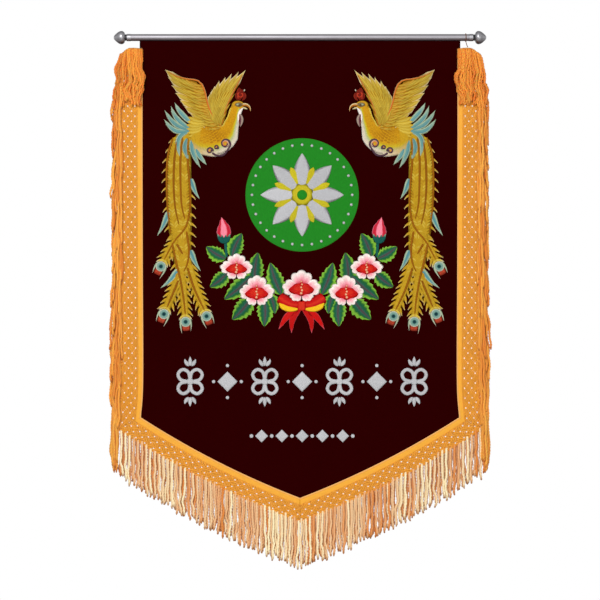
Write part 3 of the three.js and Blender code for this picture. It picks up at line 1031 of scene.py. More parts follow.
def sew_teeth(work, route, half, pitch, starts, reach):
    """Pointed barbs that stand out of both sides of a plume, whose half width half gives."""
    for side, along in zip((-1, 1), starts):
        while along < route.length:
            spot, direction, normal = route.at(along)
            edge = half(along)
            out = reach * work.chance.uniform(0.85, 1.15)
            root = spot + normal * side * (edge * 0.5) - direction * 9
            bent = spot + normal * side * (edge + out * 0.2) - direction * 2
            tip = spot + normal * side * (edge + out) + direction * 7
            work.blade([root, bent, tip], 7.5, "gold", tip=("chaff", 0.6),
                       form=[0.8, 1.0, 0.75, 0.35, 0.04], crown=0.5, rows=8)
            along += pitch


def sew_barbs(work, route, ground, reach=8.5, pitch=5.6):
    """Slanting barbs along both sides of a quill, in light and dark groups, kept on the tail's ground."""
    pale, deep = blend("gold", "straw", 0.6), blend("gold", "ochre", 0.55)
    along = pitch
    while along < route.length:
        spot, direction, normal = route.at(along)
        group = (deep, "gold") if int(along / 11) % 2 else (pale, "gold")
        for side in (-1, 1):
            tint = work.chance.choice(group)
            for share in (1.0, 0.55):
                tip = spot + (normal * side + direction) * reach * share
                if any((tip - place).length < half for place, half in ground):
                    work.blade([spot, spot + (normal * side * 0.6 + direction * 0.45) * reach * share, tip],
                               4.6 * share, tint, form="barb", layer=0.85, crown=0.3, rows=4)
                    break
        along += pitch


def sew_eye(work, spot, heading):
    """The eye at a plume's end: a grey-blue disc over a red wedge between two pale spikes."""
    side = Vector((-heading.y, heading.x))
    work.blade([spot, spot + heading * 17.5], 16, "ember", tip=("wine", 0.75),
               form=[0.8, 1.0, 1.0, 0.85], layer=0.5, rows=8)
    for share in (-0.6, 0.0, 0.6):
        root = spot + side * 6 * share + heading * 8
        work.blade([root, root + heading * 9], 2.2, "flame", form="barb", layer=1.0, crown=0.3, rows=4)
    for way in (-1, 1):
        inner = 22 if way * heading.x < 0.05 else 18
        root = spot + side * way * 8.5 - heading * 6
        tip = spot + side * way * 8.5 + heading * inner
        work.blade([root, spot + side * way * 10 + heading * 6, tip], 4.2, "mist", tip=("cream", 0.5),
                   form=[0.5, 1.0, 0.8, 0.4, 0.05], layer=0.8, rows=9)
        barb = spot + side * way * 12.5 - heading * 3
        work.blade([spot - heading * 13, spot + side * way * 8 - heading * 9, barb], 5.5, "straw",
                   tip=("cream", 0.5), form=[0.8, 1.0, 0.7, 0.05], layer=0.7, rows=6)
    pool = blend("sky", "mist", 0.25)
    rings = [
        (0, "ink"), (0.2, "ink"), (0.34, "teal"), (0.44, pool), (0.78, pool), (0.86, "cream"), (1, "mist"),
    ]
    work.wedge(spot, 10, rings, layer=1.1, crown=0.7, rings=10, spokes=26)


def sew_tail(work):
    vane = [
        (-1, "mist"), (-0.6, "mist"), (-0.35, "sky"), (0.1, "sea"), (0.4, "sky"), (0.6, "mist"), (1, "mist"),
    ]
    for root, tip in BARBS:
        bent = (Vector(root) + Vector(tip)) / 2 + Vector((0, -4))
        work.blade([root, bent, tip], 13, vane, tip=("mist", 0.6),
                   form=[0.9, 1.0, 0.75, 0.4, 0.05], layer=0.2, rows=12, lengthwise=True)
    route = Route(smooth_curve(TAIL["spine"], 10))
    half = lambda along: TAIL["width"] / 2 * form_width(TAIL["form"], along / route.length)
    sew_teeth(work, route, half, 18, TAIL["teeth"].values(), 9)
    work.blade(TAIL["spine"], TAIL["width"], "gold", form=TAIL["form"], layer=0.3, crown=0.7, rows=30)
    for spine, wide in PLUMES:
        route = Route(smooth_curve(spine, 10))
        half = lambda along: wide / 2 * min(1.0, 0.4 + along / 30)
        sew_teeth(work, route, half, 12, (20, 24), 8)
        work.blade(spine, wide, "gold", form=[0.7, 1.0, 1.0, 0.9], layer=0.4, crown=0.6, rows=18)
    ground = []
    grounds = [(TAIL["spine"], TAIL["width"], TAIL["form"])]
    grounds += [(spine, wide - 2, [1, 1]) for spine, wide in PLUMES]
    for spine, wide, form in grounds:
        route = Route(smooth_curve(spine, 10))
        for k in range(4, 61):
            ground.append((route.at(route.length * k / 60)[0], wide / 2 * form_width(form, k / 61) - 1))
    for line in QUILLS:
        sew_barbs(work, Route(smooth_curve(line, 10)), ground)
    for line in QUILLS:
        work.blade(line, 4.2, "quill", form=[0.9, 1.0, 0.85, 0.55], layer=1.2, crown=0.6, slant=0.2,
                   rows=24)
    for spine, _ in PLUMES:
        before, end = Vector(spine[-2]), Vector(spine[-1])
        heading = (end - before).normalized()
        sew_eye(work, end + heading * 8, heading)


def sew_rump(work):
    """Blue feathers round the root of the tail, held by gold ones that come from under the wing."""
    work.blade([(4, 2), (-28, -6), (-52, -14), (-66, -40)], 44, "gold", form=[0.6, 0.9, 1.0, 0.5],
               layer=0.4, rows=14)
    vane = [
        (-1, "mist"), (-0.66, "mist"), (-0.45, "sky"), (0, "sky"), (0.45, "sea"), (0.62, "mist"), (1, "mist"),
    ]
    lower = [(-v, tint) for v, tint in reversed(vane)]
    for k, line in enumerate(BLUE_FEATHERS):
        work.blade(line, 11, lower if k >= 4 else vane, tip=("mist", 0.6), form=[0.55, 0.95, 1.0, 0.7, 0.06],
                   layer=0.9 + 0.04 * k, crown=0.8, rows=14, lengthwise=True, vary=0.12)
    roots = [(-14, 16), (-20, 2), (-14, -12)]
    tips = [(-52, 24), (-56, 6), (-53, -10), (-44, -26), (-28, -42)]
    vanes = [(-1, "ochre"), (-0.7, "gold"), (0, "straw"), (0.7, "gold"), (1, "ochre")]
    work.fan(roots, tips, 11, 11, vanes, layer=1.2, bend=(0.1, 0.1), rows=8, lengthwise=True)


def sew_wing(work, row):
    """Long flight feathers, shorter ones over their roots, and a coral leading edge."""
    gold, straw, ochre = (blend(tint, (0, 0, 0), 0.16) for tint in ("gold", "straw", "ochre"))
    vanes = [(-1, ochre), (-0.8, ochre), (-0.35, gold), (0.1, straw), (0.5, gold), (0.8, ochre), (1, ochre)]
    warm = [(v, blend(tint, "coral", row["warm"])) for v, tint in vanes]
    roots, tips, count, layer = row["roots"], row["tips"], row["count"], row["layer"]
    looks = {
        "bend": row["bend"], "rows": 10, "form": [0.5, 0.8, 1.0, 0.8, 0.05], "lengthwise": True, "vary": 0.16,
    }
    work.fan(roots, tips, count, row["width"], vanes, layer, hem="chaff", tip=("chaff", 0.9), **looks)
    for reach, extra, tones in (
        (0.92, 0, vanes), (0.76, 4, vanes), (0.58, 7, vanes), (0.4, 5, warm), (0.22, 4, warm),
    ):
        layer += 0.22
        work.fan(roots, tips, count + extra, row["width"] * 0.36, tones, layer, reach=reach, **looks)
    edge = [(-1, gold), (-0.5, "coral"), (0.5, "coral"), (1, "chaff")]
    work.blade(row["edge"], row["rim"], edge, form=[0.3, 0.8, 1.0, 1.0, 0.7], layer=layer + 0.7, crown=0.6,
               rows=26)


def sew_body(work):
    spine = [(42, 52), (38, 38), (32, 16), (22, -6), (4, -18), (-20, -21), (-46, -14)]
    form = [0.33, 0.36, 0.46, 0.82, 1.0, 0.86, 0.3]
    dusk = blend("lemon", "mist", 0.7)
    across = [
        (-1.0, "straw"), (-0.88, "amber"), (-0.5, "amber"), (-0.1, "amber"), (0.16, "amber"),
        (0.4, "lemon"), (0.56, dusk), (0.74, "cream"), (0.9, "cream"), (1.0, "petal"),
    ]
    work.blade(spine, 62, across, form=form, layer=1.0, crown=1.7, rows=28, tip=("gold", 0.62))
    route = Route(smooth_curve(spine, 8))
    for k in range(12):
        t = 0.1 + 0.34 * k / 11
        spot, direction, normal = route.at(t * route.length)
        root = spot - normal * (31 * form_width(form, t) - 3.5)
        line = [root, root - normal * 3 + direction * 3, root - normal * 3.5 + direction * 8]
        work.blade(line, 4, "straw", form="barb", layer=1.5, crown=0.5, rows=5)
    rows, lanes = 15, 6
    for k in range(rows):
        t = 0.16 + 0.66 * k / (rows - 1)
        spot, direction, normal = route.at(t * route.length)
        half = 31 * form_width(form, t)
        for lane in range(lanes):
            v = -0.84 + (lane + 0.5 * (k % 2)) * 1.0 / lanes
            root = spot + normal * v * half
            deep = blend("amber", "quill", 0.6 - abs(t - 0.6) * 2.4)
            tint = blend(deep, "lemon", 2.4 * v - 0.2)
            rise = 0.6 + 1.95 * math.sqrt(1 - v * v)
            line = [root, root + direction * 4, root + direction * 8]
            work.blade(line, 6.5, tint, form="lobe", layer=rise, crown=0.3, rows=5)


def sew_scrolls(work):
    for heart, size, start in (((18, -26), 10.5, -60), ((1, -33), 4, -60), ((-11, -39), 6, -20)):
        core = [(0, "lemon"), (0.5, "coral"), (1, "cream")]
        work.wedge(heart, size * 0.72, core, layer=2.7, crown=0.5, rings=4, spokes=16)
        work.blade(curl(heart, size * 0.3, size, start, 1.25), 3.4, "plum", form="stem", layer=2.9,
                   crown=0.6, rows=26)
    work.blade([(25, -34), (15, -47), (2, -48), (-7, -43)], 3.6, "plum", form="stem", layer=2.8, rows=14)
    blush = blend("plum", "cream", 0.6)
    work.blade([(20, -38), (12, -43), (3, -44)], 2.0, blush, form="stem", layer=2.9, crown=0.4, rows=12)


def sew_head(work):
    nape = blend("amber", "straw", 0.35)
    skull = [(0, "ochre"), (0.6, "amber"), (1, nape)]
    work.wedge((41.5, 46), (12, 8.8), skull, layer=2.0, crown=0.6, rings=4, spokes=22)
    work.blade([(52, 42), (47, 36), (43.5, 27), (42, 14)], 7, "petal", form="barb", layer=2.6, rows=9)
    work.blade([(50, 42), (55, 40.5), (60, 38.5)], 3.6, "chaff", form="leaf", layer=2.5, rows=7)
    horn = blend("ember", "ochre", 0.6)
    beak = [(-1, "quill"), (-0.6, horn), (0.1, horn), (0.45, "chaff"), (0.75, "chaff"), (1, "coral")]
    work.blade([(50, 46.5), (58, 46.5), (63.5, 42), (65.5, 34)], 7.4, beak,
               form=[0.9, 0.9, 0.7, 0.4, 0.06], layer=2.7, rows=12)
    patch = blend("slate", "ochre", 0.4)
    work.disc((43, 47), (7.5, 4.6), patch, layer=2.7, spokes=18)
    work.disc((41.5, 47.5), (3.6, 2), blend("mist", patch, 0.3), layer=3.1, spokes=12)
    work.disc((44.5, 46.5), (2.6, 2), blend("ink", "quill", 0.3), layer=3.4, spokes=12)
    lobes = (
        [(41, 54), (39.5, 63), (42, 70)], [(43, 55), (42.5, 68), (45, 79)],
        [(46, 55), (48.5, 66), (48.5, 76)], [(49, 54), (54, 61), (52, 70)], [(44, 54), (46, 62), (46, 71)],
    )
    edge = blend("wine", "ember", 0.5)
    for k, line in enumerate(lobes):
        work.blade(line, 7.8, "wine", rim=edge, form="lobe", layer=2.2 + 0.1 * k, rows=8)
    flush = blend("ember", "flame", 0.4)
    work.blade(curl((47.5, 66), 1.5, 6.5, 150, 0.9), 2.4, flush, form="stem", layer=3.1, crown=0.4, rows=20)
    work.blade([(42, 58), (41.5, 65), (44, 71)], 1.6, flush, form="stem", layer=3.1, crown=0.4, rows=8)
    work.blade([(53, 72), (54.5, 76)], 3, "cream", form="barb", layer=3.0, rows=4)
    tan = blend(blend("plum", "coral", 0.2), "cream", 0.4)
    wattle = [(-1, "wine"), (-0.6, "wine"), (-0.2, "plum"), (0.25, tan), (0.7, tan), (1, "plum")]
    work.blade([(45, 30), (48, 19), (46, 5)], 9.5, wattle, form="leaf", layer=3.0, rows=9)


# The garland, about the heart of its middle flower; the left half is mirrored to the right.
# Each flower's heart, width and height.
FLOWERS = [((0, 0), 71, 58), ((-84, -8), 65, 56), ((-122, 37), 60, 47)]
# Each petal's angles, and its reach as a share of the flower's.
PETALS = [(46, 134, 1.16), (-30, 50, 1.06), (130, 210, 1.06), (-88, -24, 0.88), (204, 268, 0.88)]
LOBES = 3
# Each leaf's base, tip and width.
LEAVES = [
    ((-142, 51), (-179, 74), 30), ((-131, 54), (-112, 99), 33), ((-88, 6), (-82, 63), 35),
    ((-38, -16), (-59, 44), 34), ((-138, 26), (-172, -2), 30), ((-92, 20), (-145, -25), 36),
    ((-94, -22), (-130, -63), 36), ((-60, -14), (-50, -52), 24), ((-70, -24), (-70, -76), 33),
]


def sew_leaf(work, base, tip, width):
    """A toothed leaf: pale teeth, a bright edge, dark green, and a red-brown hatch along its vein."""
    base, tip = Vector(base), Vector(tip)
    run = tip - base
    ahead = run.normalized()
    side = Vector((-ahead.y, ahead.x))
    core = blend("ink", "slate", 0.7)
    dusk = blend("leaf", "teal", 0.6)
    across = [
        (-1.0, "pale"), (-0.86, "lime"), (-0.76, "lime"), (-0.52, "leaf"), (-0.28, dusk),
        (-0.1, core), (0.0, "bark"), (0.1, core), (0.28, dusk), (0.46, "leaf"), (0.68, "lime"),
        (0.9, "lime"), (1.0, "pale"),
    ]
    work.blade([base, base + run * 0.5 + side * 2, tip], width, across, form="leaf",
               crown=0.9, rows=30, teeth=6)
    rust = blend("bark", "wine", 0.35)
    for k in range(13):
        share = 0.12 + 0.056 * k
        reach = width * 0.2 * math.sin(math.pi * (0.1 + share))
        for way in (-1, 1):
            spot = base + run * share + side * (1.6 + way * reach * work.chance.uniform(0.1, 0.75))
            tint = work.chance.choice((core, "bark", rust, "slate"))
            end = spot + side * way * 2.4 + ahead * 4
            work.blade([spot, end], 2.2, tint, form="barb", layer=0.75, crown=0.3, rows=3)


def sew_flower(work, heart, wide, tall):
    """Five scalloped petals from red at the heart to cream at the edge, with streaks and stamens."""
    heart = Vector(heart)
    centre = heart + Vector((0, -0.1 * tall))
    stops = [
        (0, "red"), (0.38, "red"), (0.48, "pink"), (0.6, blend("pink", "petal", 0.22)),
        (0.76, blend("pink", "petal", 0.66)), (0.9, "petal"), (1, "petal"),
    ]
    for k, (start, end, size) in enumerate(PETALS):
        def reach(share, size=size):
            scallop = 0.88 + 0.12 * abs(math.sin(math.pi * LOBES * share)) ** 0.7
            swell = size * (0.72 + 0.28 * math.sin(math.pi * share) ** 0.7) * scallop
            return wide * 0.5 * swell, tall * 0.54 * swell

        work.wedge(centre, reach, stops, start, end, layer=0.9 - 0.05 * k, crown=0.9, rings=9,
                   spokes=8 * LOBES)

    def pointed(share):
        turn = abs(math.cos(2 * math.pi * share))
        return wide * (0.23 + 0.14 * turn**2), tall * 0.22

    heart_tones = [(0, "flame"), (0.4, "red"), (1, "red")]
    work.wedge(centre, pointed, heart_tones, layer=1.6, crown=0.4, rings=4, spokes=32)
    glow = blend("flame", "red", 0.2)
    for angle in (-40, -12, 10, 28, 46, 64, 116, 134, 152, 170, 192, 220):
        turn = math.radians(angle)
        ray = Vector((wide * 0.27 * math.cos(turn), tall * 0.19 * math.sin(turn)))
        work.blade([centre + ray * 0.12, centre + ray * 0.6 + Vector((0, 0.6)), centre + ray], 1.7, glow,
                   form="barb", layer=2.0, crown=0.3, rows=5)
    bead = blend("flame", blend("sun", "petal", 0.5), 0.6)
    for k in range(5):
        spot = centre + Vector((0.7 if k % 2 else -0.7, tall * (0.095 * k - 0.13)))
        work.disc(spot, 2.5 - 0.2 * k, bead, layer=2.3 + 0.1 * k, crown=0.9, spokes=12)


def sew_bud(work):
    work.blade([(-141, 54), (-142, 72), (-143, 88)], 7, "teal", form="stem", crown=0.7, rows=10)
    bud = [
        (-1.0, "pink"), (-0.85, "crimson"), (-0.5, "crimson"), (-0.34, "pink"), (0.0, "pink"),
        (0.34, "pink"), (0.5, "crimson"), (0.82, "crimson"), (1.0, "pink"),
    ]
    work.blade([(-146, 91), (-146, 108), (-150, 129)], 28, bud,
               form=[0.72, 1.0, 0.86, 0.45, 0.06], layer=0.6, crown=1.1, rows=16, lengthwise=True)
    for lean in (-9, -3, 3, 9):
        line = [(-145 + 0.1 * lean, 80), (-145.5 + 0.8 * lean, 88), (-146 + 1.3 * lean, 98)]
        work.blade(line, 8.5, "teal", tip=("mist", 0.75), form="leaf", layer=1.2, rows=8)


def sew_bow(work, way):
    """One side of the ribbon bow; way is -1 for the left."""
    place = lambda points: [(way * x, z) for x, z in points]
    fold = blend("red", "flame", 0.6)
    loop = [(-1, "red"), (-0.35, "red"), (0.0, fold), (0.35, "red"), (1, "red")]
    work.blade(place([(0, -34), (14, -35), (28, -30), (43, -20.5)]), 25, loop,
               form=[0.7, 0.7, 0.86, 1.0, 0.8], layer=0.8, crown=0.9, rows=14, lengthwise=True)
    lining = [(-1, "coral"), (-0.6, "sun"), (0.6, "sun"), (1, "coral")]
    work.blade(place([(6, -43), (17, -43.5), (27, -42), (35, -38.5), (42.5, -32)]), 12.5, lining,
               form=[0.3, 0.75, 1.0, 0.95, 0.25], layer=1.2, rows=14, lengthwise=True)
    for k in range(3):
        line = place([(6, -34 - 1.6 * k), (18, -36 - 1.2 * k), (30, -32 - 2.4 * k)])
        work.blade(line, 1.3, "flame", form="barb", layer=1.6, crown=0.3)
    hem = blend("red", "pink", 0.45)
    for tip, bent in (((43, -81), (27, -57)), ((19, -88), (17, -62))):
        across = [(-1, hem), (-0.78, "red"), (0.78, "red"), (1, hem)]
        work.blade(place([(3, -41), bent, tip]), 13.5, across, tip=(hem, 0.86),
                   form=[0.6, 0.9, 0.95, 0.6, 0.08], layer=0.7, rows=14, lengthwise=True)


def fit(piece, slot, *nodes):
    """Gives a finished piece its body and hides the frame nodes that it stands for. slot is not used."""
    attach(piece, "root")
    if nodes:
        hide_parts(*nodes)
    return piece


# Operators.


class FLAG_OT_rod(bpy.types.Operator):
    """Make the slotted rod with its bright ferrules"""

    bl_idname = "flag.rod"
    bl_label = "Rod"

    def execute(self, context):
        settings = context.scene.flag_rod
        ferrule, step = settings.ferrule / MM, settings.ferrule_step / MM
        slot_half, slot_top = 0.95, -1.4
        slot_angle = math.asin(slot_half / ROD_RADIUS)
        chamfer = 0.7
        half_rows = [
            (0.0, 0.0),
            (ROD_HALF - ferrule, 0.0),
            (ROD_HALF - ferrule + 0.3, step),
            (ROD_HALF - chamfer, step),
            (ROD_HALF, step - chamfer),
        ]
        rows = [(-along, grow) for along, grow in reversed(half_rows[1:])] + half_rows
        rings = []
        for along, grow in rows:
            ring = []
            for k in range(settings.roundness + 1):
                turn = k / settings.roundness
                angle = -math.pi / 2 - slot_angle - turn * 2 * (math.pi - slot_angle)
                radius = ROD_RADIUS + grow
                ring.append((along * MM, radius * math.cos(angle) * MM, radius * math.sin(angle) * MM))
            ring.append((along * MM, slot_half * MM, slot_top * MM))
            ring.append((along * MM, -slot_half * MM, slot_top * MM))
            rings.append(ring)
        verts, faces = tube(rings)
        # Painted shade darkens the undersides of the rod and its ferrules.
        satin = metal_finish("rod_metal", settings.metal, 0.5, 2e-5, settings.underside_shade, (0, 5))
        piece = new_object("rod_tube", verts, faces, satin)
        bright = metal_finish("ferrule_metal", settings.bright, 0.46, 8e-6, settings.underside_shade, (1, 6))
        piece.data.materials.append(bright)
        for face in piece.data.polygons:
            if abs(face.center.x) > (ROD_HALF - ferrule) * MM:
                face.material_index = 1
        flat_ends(piece)
        fit(piece, "rod_metal", "rod")
        return {"FINISHED"}


def flat_ends(piece):
    """Keeps sharp edges sharp on a smooth-shaded piece."""
    piece.data.set_sharp_from_angle(angle=math.radians(35))


# Half outlines of a finial and of its neck ring: shares of the length and of the largest radius.
FINIAL_FORM = [
    (0.0, 0.55), (0.05, 0.74), (0.12, 0.88), (0.21, 0.97), (0.31, 1.0), (0.44, 0.96), (0.57, 0.86),
    (0.69, 0.71), (0.8, 0.54), (0.9, 0.38), (0.97, 0.2), (1.0, 0.01),
]
NECK_FORM = [
    (0.0, 0.92), (0.07, 1.0), (0.38, 1.0), (0.45, 0.88), (0.55, 0.88), (0.62, 1.0), (0.93, 1.0),
    (1.0, 0.92),
]


class FLAG_OT_finials(bpy.types.Operator):
    """Make the two bud-shaped finials and their black neck rings"""

    bl_idname = "flag.finials"
    bl_label = "Finials"

    def execute(self, context):
        settings = context.scene.flag_rod
        # Painted shade darkens the finials' undersides.
        bright = metal_finish("finial_metal", settings.bright, 0.4, 1e-5, settings.underside_shade, (3, 9))
        black = neck_finish(settings.black)
        bud = smooth_curve(FINIAL_FORM, 4)
        for side, hand in SIDES.items():
            for name, node, slot, form, material in (
                ("finial_bud", "finial", "finial_metal", bud, bright),
                ("neck_ring", "neck", "neck_plastic", NECK_FORM, black),
            ):
                low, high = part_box(f"{node}_right")
                start, length, radius = low.x / MM, (high.x - low.x) / MM, high.z / MM
                rows = [(start, 0.01)]
                rows += [(start + share * length, width * radius) for share, width in form]
                rows += [(start + length, 0.01)]
                verts, faces = tube(turned(rows, settings.roundness, hand))
                piece = new_object(f"{name}_{side}", verts, faces, material)
                flat_ends(piece)
                fit(piece, slot, f"{node}_{side}")
        return {"FINISHED"}


def side_out(z):
    """Half the cloth's width at a height."""
    line = SIDE_ROUTE.points
    if z >= line[0].y:
        return SIDE_EDGE[0][0]
    for a, b in zip(line, line[1:]):
        if b.y <= z <= a.y:
            return a.x + (b.x - a.x) * (z - a.y) / (b.y - a.y)
    return CORNER[0]


class FLAG_OT_cloth(bpy.types.Operator):
    """Make the five-sided panel, hanging from the rod's slot with its edges turned to the back"""

    bl_idname = "flag.cloth"
    bl_label = "Cloth"

    def execute(self, context):
        settings = context.scene.flag_cloth
        columns, rows = 80, 116
        # The rod grips the two topmost rows of points. Towards its other edges the cloth is rounded off.
        gripped, grip_half, hang_top = (-2.6, -5.0), 0.55, -7.2
        rounding, shallower, doubled = 1.2, 0.4, 0.35
        half = settings.thickness / MM / 2
        hem = settings.hem / MM
        lower = LOWER_ROUTE.points
        grid = {}
        verts = []
        for i in range(columns + 1):
            u = 2 * i / columns - 1
            bottom = height_at(lower, abs(u) * CORNER[0])
            for j in range(rows + 1):
                share = max(0, j - 2) / (rows - 2)
                z = gripped[j] if j < 2 else hang_top + (bottom - hang_top) * share
                x = u * side_out(z)
                edge = min(side_out(z) - abs(x), z - bottom) if j > 1 else hem
                thick = grip_half if j < 2 else half
                rim = min(1.0, max(0.0, edge / rounding))
                soft = math.sqrt(rim * (2 - rim))
                turned_in = doubled if edge < hem and j > 1 else 0.0
                front = CLOTH_FRONT + (1 - thick - 0.25) + shallower * (1 - soft)
                if j < 2:
                    front, back = -thick, thick
                else:
                    back = front + 2 * thick - shallower * (1 - soft) * 2 + turned_in
                grid[i, j] = len(verts)
                verts.append(on_cloth(x, front, z))
                verts.append(on_cloth(x, back, z))
        faces = []
        for i in range(columns):
            for j in range(rows):
                a, b, c, d = grid[i, j], grid[i, j + 1], grid[i + 1, j + 1], grid[i + 1, j]
                faces.append((a, b, c, d))
                faces.append((d + 1, c + 1, b + 1, a + 1))
        rim = [grid[i, 0] for i in range(columns + 1)]
        rim += [grid[columns, j] for j in range(1, rows + 1)]
        rim += [grid[i, rows] for i in reversed(range(columns))]
        rim += [grid[0, j] for j in reversed(range(1, rows))]
        for k, a in enumerate(rim):
            b = rim[(k + 1) % len(rim)]
            faces.append((b, b + 1, a + 1, a))
        piece = new_object("panel_cloth", verts, faces, cloth_finish(settings))
        fit(piece, "panel_cloth", "panel")
        return {"FINISHED"}


class FLAG_OT_hem(bpy.types.Operator):
    """Sew the hems and the trim down with rows of stitches"""

    bl_idname = "flag.hem"
    bl_label = "Hem stitches"

    def execute(self, context):
        settings = context.scene.flag_cloth
        trim = context.scene.flag_trim
        thread = cord_finish("hem_thread", settings.stitch_colour, thread=0.0004)
        gold = cord_finish("trim_thread", trim.edge_colour, thread=0.0004)
        hem = settings.hem / MM - 2
        back, front = Lines(), Lines()
        for hand in SIDES.values():
            for route in ROUTES.values():
                back.follow(route, -hem, CLOTH_BACK - 0.1, hand, 6)
                front.follow(route, 2.2 - trim.overlap / MM, CLOTH_FRONT - 1.55, hand, 6)
        stitch = settings.stitch
        fit(back.stitch("hem_stitches", thread, stitch * 1.6, stitch, 0.0006), "panel_cloth")
        fit(front.stitch("trim_stitches", gold, stitch * 1.35, stitch, 0.0006, 0.2), "fringe_yarn")
        return {"FINISHED"}


class FLAG_OT_band(bpy.types.Operator):
    """Weave the bands along the panel's edges, mitred at the corners"""

    bl_idname = "flag.band"
    bl_label = "Bands"

    # The band's section: distance out from its inner edge, and height above its back.
    section = [
        (0.0, 0.5), (0.4, 1.25), (1.2, 1.5), (2.0, 1.3), (2.5, 0.85), (3.6, 1.1), (5.0, 0.95),
        (6.4, 1.15), (7.8, 0.95), (9.2, 1.15), (10.6, 0.95), (12.0, 1.15), (13.2, 1.0), (14.0, 0.5),
    ]

    def execute(self, context):
        settings = context.scene.flag_trim
        material = band_finish(settings)
        overlap = settings.overlap / MM
        stretch = settings.band / MM / self.section[-1][0]
        back = CLOTH_FRONT - 0.05
        ring_step = 3.2
        loop = [(out * stretch, height) for out, height in self.section]
        loop += [(out, 0.0) for out, _ in reversed(loop)]
        for side, hand in SIDES.items():
            rings, weave = [], []
            for part, before in (("side", 0.0), ("lower", SIDE_ROUTE.length)):
                route = ROUTES[part]
                steps = int(route.length / ring_step)
                for k in range(1 if before else 0, steps + 1):
                    ring = []
                    to_corner = route.length * (k / steps if part == "lower" else 1 - k / steps)
                    ease = 0.5 * max(0.0, 1 - to_corner / BAND_EASE)
                    other = BAND_SHARE["side" if part == "lower" else "lower"]
                    share = BAND_SHARE[part] + (other - BAND_SHARE[part]) * ease
                    for full, height in loop:
                        out = full * share
                        start, end = trim_span(route, out - overlap)
                        along = start + (end - start) * k / steps
                        p = route.off(along, out - overlap)
                        ring.append(on_cloth(hand * p.x, back - height, p.y))
                        weave.append(((before + along) * MM, out * MM))
                    rings.append(ring)
            verts, faces = tube(rings)
            if hand < 0:
                faces = [tuple(reversed(face)) for face in faces]
            piece = new_object(f"band_{side}", verts, faces, material)
            point_attribute(piece.data, "weave", "FLOAT2", weave)
            fit(piece, "fringe_yarn")
        return {"FINISHED"}


class FLAG_OT_net(bpy.types.Operator):
    """Knot the open net beside each band: flat bundles of cord that cross over and under"""

    bl_idname = "flag.net"
    bl_label = "Net"

    outer = 40.5
    depth = -2.15
    crossing = 0.85
    seam = 0.2
    # How far the net reaches in under the band from its first row of gaps, how full its cords are, how far
    # the middle one of each three stands out, and the distance between points along them.
    under = 4.2
    fullness = 1.1
    proud = 0.075
    spacing = 1.05

    def inside(self, route, overlap, start, slope, first_row):
        """How far out a slanting cord starts and ends, so that it stays within the trim's mitres."""
        near, far = first_row - self.under, self.outer
        for end, side in ((0, 1), (1, -1)):
            a, b = (
                side * (start + (out - first_row) / slope - trim_span(route, out - overlap)[end]) - self.seam
                for out in (near, far)
            )
            if a < 0 and b < 0:
                return 0, 0
            cross = near + (far - near) * a / (a - b) if a * b < 0 else None
            if a < 0:
                near = cross
            elif b < 0:
                far = cross
        return near, far

    def bundle(self, lines, route, hand, start, slope, settings, chance, first_row):
        overlap = settings.overlap / MM
        row, cord = settings.row / MM, settings.net_cord / MM
        lean = math.hypot(1, slope)
        for strand in (-1, 0, 1):
            shift = strand * cord * lean / abs(slope)
            points = []
            near, far = self.inside(route, overlap, start + shift, slope, first_row)
            count = max(2, round((far - near) / self.spacing))
            for k in range(count + 1 if far - near > 2 else 0):
                out = near + (far - near) * k / count
                along = start + shift + (out - first_row) / slope
                over = math.cos(math.pi * (out - first_row) / row) * math.copysign(self.crossing, slope)
                p = route.off(along, out - overlap)
                raised = 0 if strand else self.proud
                points.append(on_cloth(hand * p.x, self.depth - over - raised, p.y))
            if len(points) > 3:
                lines.add(points, tone=0.3 + 0.4 * chance.random())

    def execute(self, context):
        settings = context.scene.flag_trim
        material = cord_finish("fringe_net", settings.net_colour, thread=0.0005)
        overlap = settings.overlap / MM
        repeat = settings.repeat / MM
        slope = 2 * settings.row / MM / repeat
        for side, hand in SIDES.items():
            for part, route in ROUTES.items():
                chance = random.Random(settings.seed + 13 * hand + len(part))
                lines = Lines()
                first_row = FIRST_ROW[part]
                low, high = trim_span(route, self.outer - overlap)
                reach = (self.outer - first_row + self.under) / slope
                count = int((high - low + 2 * reach) / repeat) + 2
                for k in range(count):
                    start = low - reach + k * repeat
                    for lean in (slope, -slope):
                        self.bundle(lines, route, hand, start, lean, settings, chance, first_row)
                radius = settings.net_cord / 2 * self.fullness
                net = lines.sweep(f"net_{part}_{side}", material, radius, step=0.003, faces=6)
                fit(net, "fringe_yarn")
        return {"FINISHED"}


